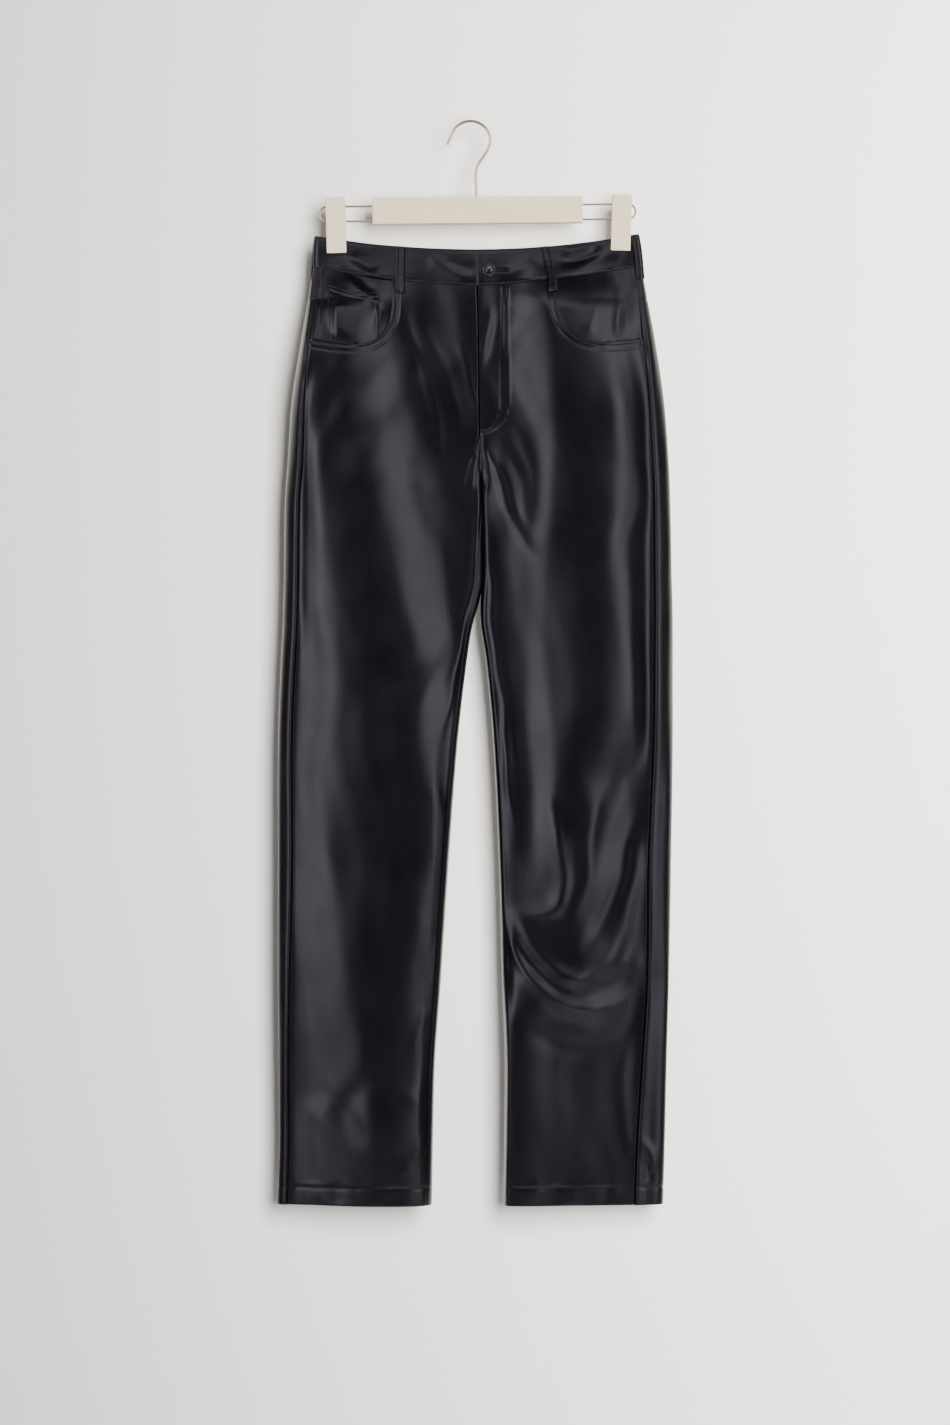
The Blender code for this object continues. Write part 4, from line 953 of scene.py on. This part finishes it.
def pocket_facing(side, leather):
    inner_x = SCOOPS[side].start_x - side * SCOOP_UNDERLAP
    lowest = POCKET_LEVEL + SCOOP_UNDERLAP_LEVEL
    level = lowest * spaced(FACING_DROP, 1.8, EDGE_STEPS)[:, None]
    shares = spaced(FACING_WIDTH, 1.6, EDGE_STEPS)[None, :]
    turn = mix(side_seam_turn(side, level), turn_at_x(side, level, inner_x), shares)
    plain = surface(side, turn, level, 0.0, FACING_CREASES)
    from_seam = border_distances(plain)[0]
    depth = facing_depth(side, plain[..., 0], level) + roll(from_seam)
    if side == RIGHT:
        depth += sum(groove(from_seam - row) for row in FACING_ROWS)
    points = surface(side, turn, level, depth, FACING_CREASES)
    hand = SIDE_NAMES[side]
    cloth(f"{hand}_pocket_facing", points, POCKET_WALL, leather, f"pocket_facing_{hand}")


def coin_pocket(leather):
    down = spaced(COIN_POCKET_DROP, 1.5, EDGE_STEPS, EDGE_STEPS)[:, None]
    shares = spaced(COIN_POCKET_WIDTH, 1.5, EDGE_STEPS, EDGE_STEPS)[None, :]
    level = mix(*COIN_POCKET_LEVELS, down)
    level = level + 0.004 * np.sin(shares * math.pi)
    x = mix(*COIN_POCKET_X, shares)
    turn = turn_at_x(RIGHT, level, x)
    plain = surface(RIGHT, turn, level, 0.0, FACING_CREASES)
    from_side, from_centre, from_top, _from_bottom = border_distances(plain)
    depth = facing_depth(RIGHT, x, level) - 1.0 + roll(from_top) + roll(from_centre)
    depth += roll(from_side) + groove(from_centre - SEAM_STITCH)
    depth += groove(from_top - SEAM_STITCH) + groove(from_top - COIN_POCKET_ROW)
    points = surface(RIGHT, turn, level, depth, FACING_CREASES)
    cloth("coin_pocket_patch", points, POCKET_WALL, leather, "coin_pocket")


# ---- belt loops

def belt_loop(name, side, turns_at, leather):
    """A folded strip over the band: sewn down at both ends, standing off between them."""
    down = spaced(LOOP_LENGTH, 1.4, LOOP_EDGE_STEPS, LOOP_EDGE_STEPS)
    shares = spaced(LOOP_WIDTH, 0.9, (0.2, 0.3, 0.5), (0.2, 0.3, 0.5))
    past_band = down * LOOP_LENGTH - LOOP_OVER_BAND
    level = np.where(past_band < 0, past_band / LOOP_OVER_BAND,
                     LOOP_END_LEVEL * past_band / (LOOP_LENGTH - LOOP_OVER_BAND))
    turn = turns_at(level[:, None], shares)
    stand_off = 1.4 + 1.6 * np.sin(math.pi * down) ** 0.8
    ends = np.minimum(down, 1 - down) * LOOP_LENGTH
    across = np.minimum(shares, 1 - shares) * LOOP_WIDTH
    lift = stand_off[:, None] + 0.5 * np.sin(math.pi * shares) + BAND_PROUD
    fall = roll(across) + roll(ends)[:, None] + 1.4 * groove(across - LOOP_ROW)
    fall = fall + 0.12 * np.sin(down * 47)[:, None]
    points = surface(side, turn, level[:, None], fall - lift, BAND_CREASES)
    cloth(f"{name}_strip", points, LOOP_WALL, leather, name)
    return [surface(side, turns_at(level, share), level, -lift[:, 0] - 0.05, BAND_CREASES)
            for share in (0.23, 0.77)]


def straight_loop(side, x_top, x_bottom, face):
    def turns_at(level, share):
        x = mix(x_top, x_bottom, np.clip(level + 1, 0, 1)) + side * LOOP_WIDTH * (0.5 - share)
        return face * turn_at_x(side, level, x)
    return turns_at


def edge_loop(side, face):
    def turns_at(level, share):
        return face * turn_at_edge(side, level, mix(*SIDE_LOOP_FROM_EDGE, share))
    return turns_at


def belt_loops(leather):
    rows = []
    for side in (LEFT, RIGHT):
        rows += belt_loop(f"belt_loop_front_{SIDE_NAMES[side]}", side,
                          straight_loop(side, *LOOP_X[side], 1), leather)
    belt_loop("belt_loop_side_left", LEFT, edge_loop(LEFT, 1), leather)
    belt_loop("belt_loop_side_right", RIGHT, edge_loop(RIGHT, -1), leather)
    rows += belt_loop("belt_loop_back", LEFT,
                      straight_loop(LEFT, LOOP_BACK_X, LOOP_BACK_X, -1), leather)
    return rows


# ---- rows of stitches

def on_front(side, line):
    """A line of (x, z) laid on a front panel's stitched surface."""
    x, z = line.T
    level = level_of(x, z)
    inset = front_sewing(side, x, z) + THREAD_SINK
    return surface(side, turn_at_x(side, level, x), level, inset)


def side_stitch_line(side):
    """Beside a side seam, on the back panel, down to the bar tack."""
    end_level = level_of(NEAR_EDGE_X + 10, SIDE_STITCH_END)
    level = np.linspace(0.002, end_level, 160)
    seam = seam_inset(side, section(height(side * NEAR_EDGE_X, level)))
    return surface(side, turn_at_edge(side, level, seam - SEAM_STITCH), level,
                   GROOVE_DEPTH + THREAD_SINK)


def sew(thread):
    pockets = [on_front(side, shifted(MOUTH_LINES[side], -side * row)[1:-2])
               for side in (LEFT, RIGHT) for row in TOPSTITCH]
    stitches("pocket_mouth_stitches", pockets, thread)
    stitches("fly_stitches", [on_front(LEFT, line) for line in FLY_LINES], thread)
    stitches("side_seam_stitches", [side_stitch_line(side) for side in (LEFT, RIGHT)], thread)
    hems, bands = [], []
    around = np.linspace(-math.pi + 0.04, math.pi - 0.04, 500)
    for side in (LEFT, RIGHT):
        hem_level = 1 - HEM_DEPTH / (seam_height(side * 120.0) - HEM)
        hems.append(surface(side, around, hem_level, GROOVE_DEPTH + THREAD_SINK))
        for level in (-0.949, -0.051):
            bands.append(surface(side, band_turns(side)[1:-1], level,
                                 GROOVE_DEPTH + THREAD_SINK - BAND_PROUD - 0.1, BAND_CREASES))
    stitches("hem_stitches", hems, thread)
    tip = np.linspace(-0.95, -0.05, 20)
    bands.append(surface(LEFT, turn_at_x(LEFT, tip, 8.6), tip, -BAND_PROUD, BAND_CREASES))
    stitches("waistband_stitches", bands, thread)


# ---- button

def button(nickel):
    """A turned, polished cap with a rounded rim, on a short shank."""
    low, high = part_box("button")
    centre = (low + high) / 2 / MM
    front, back = low.y / MM, high.y / MM
    rim = BUTTON_RADIUS
    profile = (
        (0.0, back), (2.2, back), (2.2, front + 3.2), (rim - 0.9, front + 3.2),
        (rim - 0.3, front + 2.9), (rim, front + 2.3), (rim - 0.1, front + 1.7),
        (rim - 0.6, front + 0.9), (rim - 1.3, front + 0.6), (rim - 2.1, front + 0.75),
        (rim - 2.9, front + 0.9), (rim * 0.4, front + 0.3), (rim * 0.2, front + 0.08), (0.0, front),
    )
    bm = bmesh.new()
    points = [bm.verts.new((radius, y, 0.0)) for radius, y in profile]
    edges = [bm.edges.new(pair) for pair in zip(points, points[1:])]
    bmesh.ops.spin(bm, geom=points + edges, cent=(0, 0, 0), axis=(0, 1, 0), angle=2 * math.pi,
                   steps=48, use_merge=True)
    bmesh.ops.remove_doubles(bm, verts=bm.verts, dist=0.001)
    bmesh.ops.recalc_face_normals(bm, faces=bm.faces)
    bmesh.ops.translate(bm, vec=(centre.x, 0, centre.z), verts=bm.verts)
    bmesh.ops.scale(bm, vec=(MM, MM, MM), verts=bm.verts)
    piece = new_object("jeans_button", bm)
    piece.data.shade_smooth()
    piece.data.set_sharp_from_angle(angle=math.radians(60))
    finish_piece(piece, "dark_nickel", nickel, "button")


# ---- materials

def colour(hexadecimal):
    """An sRGB hex colour as linear RGBA."""
    channels = [int(hexadecimal[i:i + 2], 16) / 255 for i in (1, 3, 5)]
    linear = [c / 12.92 if c <= 0.04045 else ((c + 0.055) / 1.055) ** 2.4 for c in channels]
    return (*linear, 1.0)


def add_node(tree, kind, inputs=None, **settings):
    """Adds a node with its settings. inputs gives each named socket a value or a link."""
    made = tree.nodes.new(kind)
    for name, value in settings.items():
        setattr(made, name, value)
    for name, value in (inputs or {}).items():
        if isinstance(value, bpy.types.NodeSocket):
            tree.links.new(value, made.inputs[name])
        else:
            made.inputs[name].default_value = value
    return made


def new_material(name, **constants):
    """A material, with its tree, shader and object coordinates. Constants go on the shader."""
    made = bpy.data.materials.new(name)
    made.use_nodes = True
    tree = made.node_tree
    shader = tree.nodes["Principled BSDF"]
    for socket, value in constants.items():
        shader.inputs[socket].default_value = value
    where = add_node(tree, "ShaderNodeTexCoord").outputs["Object"]
    return made, tree, shader, where


def noise(tree, where, cell, detail, **more):
    """Cloudy noise, whose cells are about as large as the given mm."""
    return add_node(tree, "ShaderNodeTexNoise", {
        "Vector": where, "Scale": 1 / (cell * MM), "Detail": detail, **more}).outputs["Fac"]


def tinted(tree, shader, share, first, second):
    mixed = add_node(tree, "ShaderNodeMix", {
        "Factor": share, "A": colour(first), "B": colour(second)}, data_type="RGBA")
    tree.links.new(mixed.outputs["Result"], shader.inputs["Base Color"])


def embossed(tree, shader, relief, strength, depth):
    bump = add_node(tree, "ShaderNodeBump", {
        "Height": relief, "Strength": strength, "Distance": depth * MM})
    tree.links.new(bump.outputs["Normal"], shader.inputs["Normal"])


def faux_leather_material():
    """PU-coated knit: a smooth black film, satin, with a fine grain drawn out down the cloth.

    The grain is about 1 mm across and 4 mm long, which is coarser than the real one, so that it
    shows at this distance. Slow changes of gloss come from handling.
    """
    made, tree, shader, where = new_material("pu_faux_leather", IOR=1.5)
    drawn = add_node(tree, "ShaderNodeMapping", {"Vector": where, "Scale": (1.0, 1.0, 0.24)})
    grain = noise(tree, drawn.outputs["Vector"], 1.0, 3.0, Roughness=0.6, Distortion=0.4)
    pores = noise(tree, where, 0.8, 2.0, Roughness=0.5)
    relief = add_node(tree, "ShaderNodeMath", {0: grain, 1: pores}, operation="ADD")
    worn = noise(tree, where, 45.0, 3.0, Roughness=0.55)
    gloss = add_node(tree, "ShaderNodeMapRange", {
        "Value": worn, "From Min": 0.3, "From Max": 0.7,
        "To Min": 0.265, "To Max": 0.325})
    matter = add_node(tree, "ShaderNodeMath", {
        0: grain, 1: 0.06, 2: gloss.outputs["Result"]}, operation="MULTIPLY_ADD")
    tinted(tree, shader, grain, "#020102", "#050306")
    embossed(tree, shader, relief.outputs[0], 0.4, 0.16)
    tree.links.new(matter.outputs[0], shader.inputs["Roughness"])
    return made


def thread_material():
    """Polyester sewing thread, twisted: black, with random lighter flecks that are a painted sheen
    of its glossy fibres.
    """
    made, tree, shader, where = new_material("polyester_thread", Roughness=0.55)
    twist_and_sheen = noise(tree, where, 0.4, 2.0)
    # painted sheen: the colour is lifted from black to dark grey in flecks, standing in for the
    # thread's highlights
    tinted(tree, shader, twist_and_sheen, "#131115", "#2b282e")
    embossed(tree, shader, twist_and_sheen, 0.6, 0.1)
    return made


def dark_nickel_material():
    """Black-nickel plating on stamped brass, tumbled: mirror-like, with faint hairlines."""
    made, tree, shader, where = new_material("dark_nickel_plating", Metallic=1.0)
    lines = add_node(tree, "ShaderNodeMapping", {"Vector": where, "Scale": (1.0, 1.0, 14.0)})
    scratches = noise(tree, lines.outputs["Vector"], 2.0, 4.0)
    gloss = add_node(tree, "ShaderNodeMapRange", {
        "Value": scratches, "To Min": 0.2, "To Max": 0.36})
    tree.links.new(gloss.outputs["Result"], shader.inputs["Roughness"])
    shader.inputs["Base Color"].default_value = colour("#5f5b58")
    return made


def hanger_plastic_material():
    """Injection-moulded ABS in warm off-white: satin, with a spark-eroded texture, which is
    drawn coarser than the real one."""
    made, tree, shader, where = new_material(
        "moulded_abs_offwhite", Roughness=0.42, IOR=1.53)
    tinted(tree, shader, noise(tree, where, 30.0, 3.0), "#ad9f87", "#b6a991")
    embossed(tree, shader, noise(tree, where, 0.7, 2.0), 0.3, 0.05)
    return made


def hanger_wire_material():
    """Steel wire under a pale pearl lacquer: satin, and very slightly pebbled."""
    made, tree, shader, where = new_material(
        "pearl_coated_wire", Roughness=0.24, Metallic=0.85)
    tinted(tree, shader, noise(tree, where, 20.0, 2.0), "#a39b8c", "#aea698")
    embossed(tree, shader, noise(tree, where, 1.2, 2.0), 0.2, 0.05)
    return made


# ---- studio

CAMERA_DISTANCE = 3.5
VIEW_HEIGHT = 1.532        # what the camera sees of the garment's plane, top to bottom
VIEW_CENTRE = (0.0038, -0.6343)
GARMENT_CENTRE = Vector((0.0, 0.0, -0.62))
WALL_Y = 0.046
FLOOR_Z = -2.1


def painted(name, hexadecimal):
    """Matt emulsion paint, seen from its front only, so the back of the garment can be seen. A
    painted falloff of light darkens it towards -X, as if the room were lit more from +X."""
    made, tree, shader, where = new_material(name, Roughness=0.9)
    mottle = noise(tree, where, 1000 / 3, 3.0)
    bright = colour(hexadecimal)
    tint = add_node(tree, "ShaderNodeMix", {
        "Factor": mottle, "A": bright,
        "B": tuple(0.97 * c for c in bright[:3]) + (1.0,)}, data_type="RGBA")
    across = add_node(tree, "ShaderNodeSeparateXYZ", {"Vector": where})
    # painted light falloff: the colour darkens towards -X, standing in for light that falls off
    # away from +X
    painted_light_falloff = add_node(tree, "ShaderNodeMapRange", {
        "Value": across.outputs["X"], "From Min": -0.5, "From Max": 0.5,
        "To Min": 0.6, "To Max": 1.0})
    shaded = add_node(tree, "ShaderNodeMix", {
        "Factor": 1.0, "A": tint.outputs["Result"], "B": painted_light_falloff.outputs["Result"]},
        data_type="RGBA", blend_type="MULTIPLY")
    tree.links.new(shaded.outputs["Result"], shader.inputs["Base Color"])
    clear = add_node(tree, "ShaderNodeBsdfTransparent")
    face = add_node(tree, "ShaderNodeNewGeometry")
    both = add_node(tree, "ShaderNodeMixShader", {
        0: face.outputs["Backfacing"], 1: shader.outputs["BSDF"], 2: clear.outputs["BSDF"]})
    tree.links.new(both.outputs["Shader"], tree.nodes["Material Output"].inputs["Surface"])
    return made


def plane(name, size, material, matrix):
    bm = bmesh.new()
    bmesh.ops.create_grid(bm, x_segments=1, y_segments=1, size=size / 2, matrix=matrix)
    made = new_object(name, bm)
    made.data.materials.append(material)
    return made


def softbox(name, place, size, watts, tint, shines=True, shades=True, fills=True):
    """A soft light on the garment. One that doesn't shine isn't mirrored in the cloth, one that
    doesn't shade only washes the wall, and one that doesn't fill is only mirrored."""
    light = bpy.data.lights.new(name, "AREA")
    light.shape = "RECTANGLE"
    light.size, light.size_y = size
    light.energy = watts
    light.color = tint
    light.use_shadow = shades
    lamp = bpy.data.objects.new(name, light)
    lamp.location = place
    lamp.rotation_euler = (GARMENT_CENTRE - Vector(place)).to_track_quat("-Z", "Y").to_euler()
    lamp.visible_glossy = shines
    lamp.visible_diffuse = fills
    bpy.context.scene.collection.objects.link(lamp)


def studio():
    paint = painted("matt_wall_paint", "#f0ede7")
    facing_camera = Matrix.Translation((0, WALL_Y, -0.6)) @ Matrix.Rotation(math.pi / 2, 4, "X")
    wall = plane("backdrop_wall", 5.0, paint, facing_camera)
    wall.visible_shadow = False
    # the floor's paint carries the same painted falloff of light towards -X
    plane("studio_floor", 8.0, painted("matt_floor_paint", "#908e98"),
          Matrix.Translation((0, 0, FLOOR_Z)))
    daylight, white = (1.0, 0.985, 0.965), (1.0, 1.0, 1.0)
    softbox("wash_right", (2.2, -0.8, -0.2), (0.6, 2.4), 34, daylight, False, False)
    softbox("wash_front", (0.8, -2.9, -0.1), (1.1, 1.8), 385, daylight, False)
    for name, place, size, watts, tint in (
        ("key_right", (1.72, -2.3, -0.1), (1.0, 2.8), 28, (0.975, 0.94, 1.075)),
        ("fill_left", (-1.77, -2.26, -0.1), (1.0, 2.8), 33, (0.95, 0.93, 1.095)),
        ("top", (0.1, -2.4, 1.25), (1.5, 1.0), 11, (0.97, 0.95, 1.06)),
    ):
        softbox(name, place, size, watts, tint, fills=False)
    softbox("back_left", (-1.1, 2.7, 0.1), (1.2, 2.2), 40, white)
    softbox("back_right", (1.3, 2.6, -0.2), (1.0, 2.2), 32, white)
    world = bpy.data.worlds.new("soft_room")
    world.use_nodes = True
    tree = world.node_tree
    tree.nodes.clear()
    ray = add_node(tree, "ShaderNodeLightPath").outputs
    # the room fills the shadows, but isn't mirrored in the cloth
    filled = add_node(tree, "ShaderNodeMapRange", {
        "Value": ray["Is Diffuse Ray"], "To Min": 0.03, "To Max": 0.06})
    seen = add_node(tree, "ShaderNodeMapRange", {
        "Value": ray["Is Camera Ray"], "To Min": filled.outputs["Result"], "To Max": 3.0})
    room = add_node(tree, "ShaderNodeBackground", {
        "Color": colour("#efedea"), "Strength": seen.outputs["Result"]})
    add_node(tree, "ShaderNodeOutputWorld", {"Surface": room.outputs["Background"]})
    bpy.context.scene.world = world


def camera():
    lens = bpy.data.cameras.new("camera")
    lens.sensor_width = 36.0
    lens.lens = lens.sensor_width * CAMERA_DISTANCE / VIEW_HEIGHT
    eye = bpy.data.objects.new("camera", lens)
    eye.location = (VIEW_CENTRE[0], -CAMERA_DISTANCE, VIEW_CENTRE[1])
    eye.rotation_euler = (math.pi / 2, 0.0, 0.0)
    bpy.context.scene.collection.objects.link(eye)
    bpy.context.scene.camera = eye


# ---- the whole

def dress(nodes, material):
    for name in nodes:
        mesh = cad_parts[name].data
        mesh.materials.clear()
        mesh.materials.append(material)


camera()
studio()
leather = faux_leather_material()
thread = thread_material()
for side in (LEFT, RIGHT):
    front_panel(side, leather)
    back_panel(side, leather)
    back_yoke(side, leather)
    pocket_facing(side, leather)
    waistband(side, leather)
coin_pocket(leather)
loop_rows = belt_loops(leather)
stitches("belt_loop_stitches", loop_rows, thread)
sew(thread)
button(dark_nickel_material())
plastic, coated = hanger_plastic_material(), hanger_wire_material()
dress([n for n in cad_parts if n.startswith(("clip_", "hanger_bar"))], plastic)
dress([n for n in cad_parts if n.startswith(("hanger_hook", "hanger_wire"))], coated)
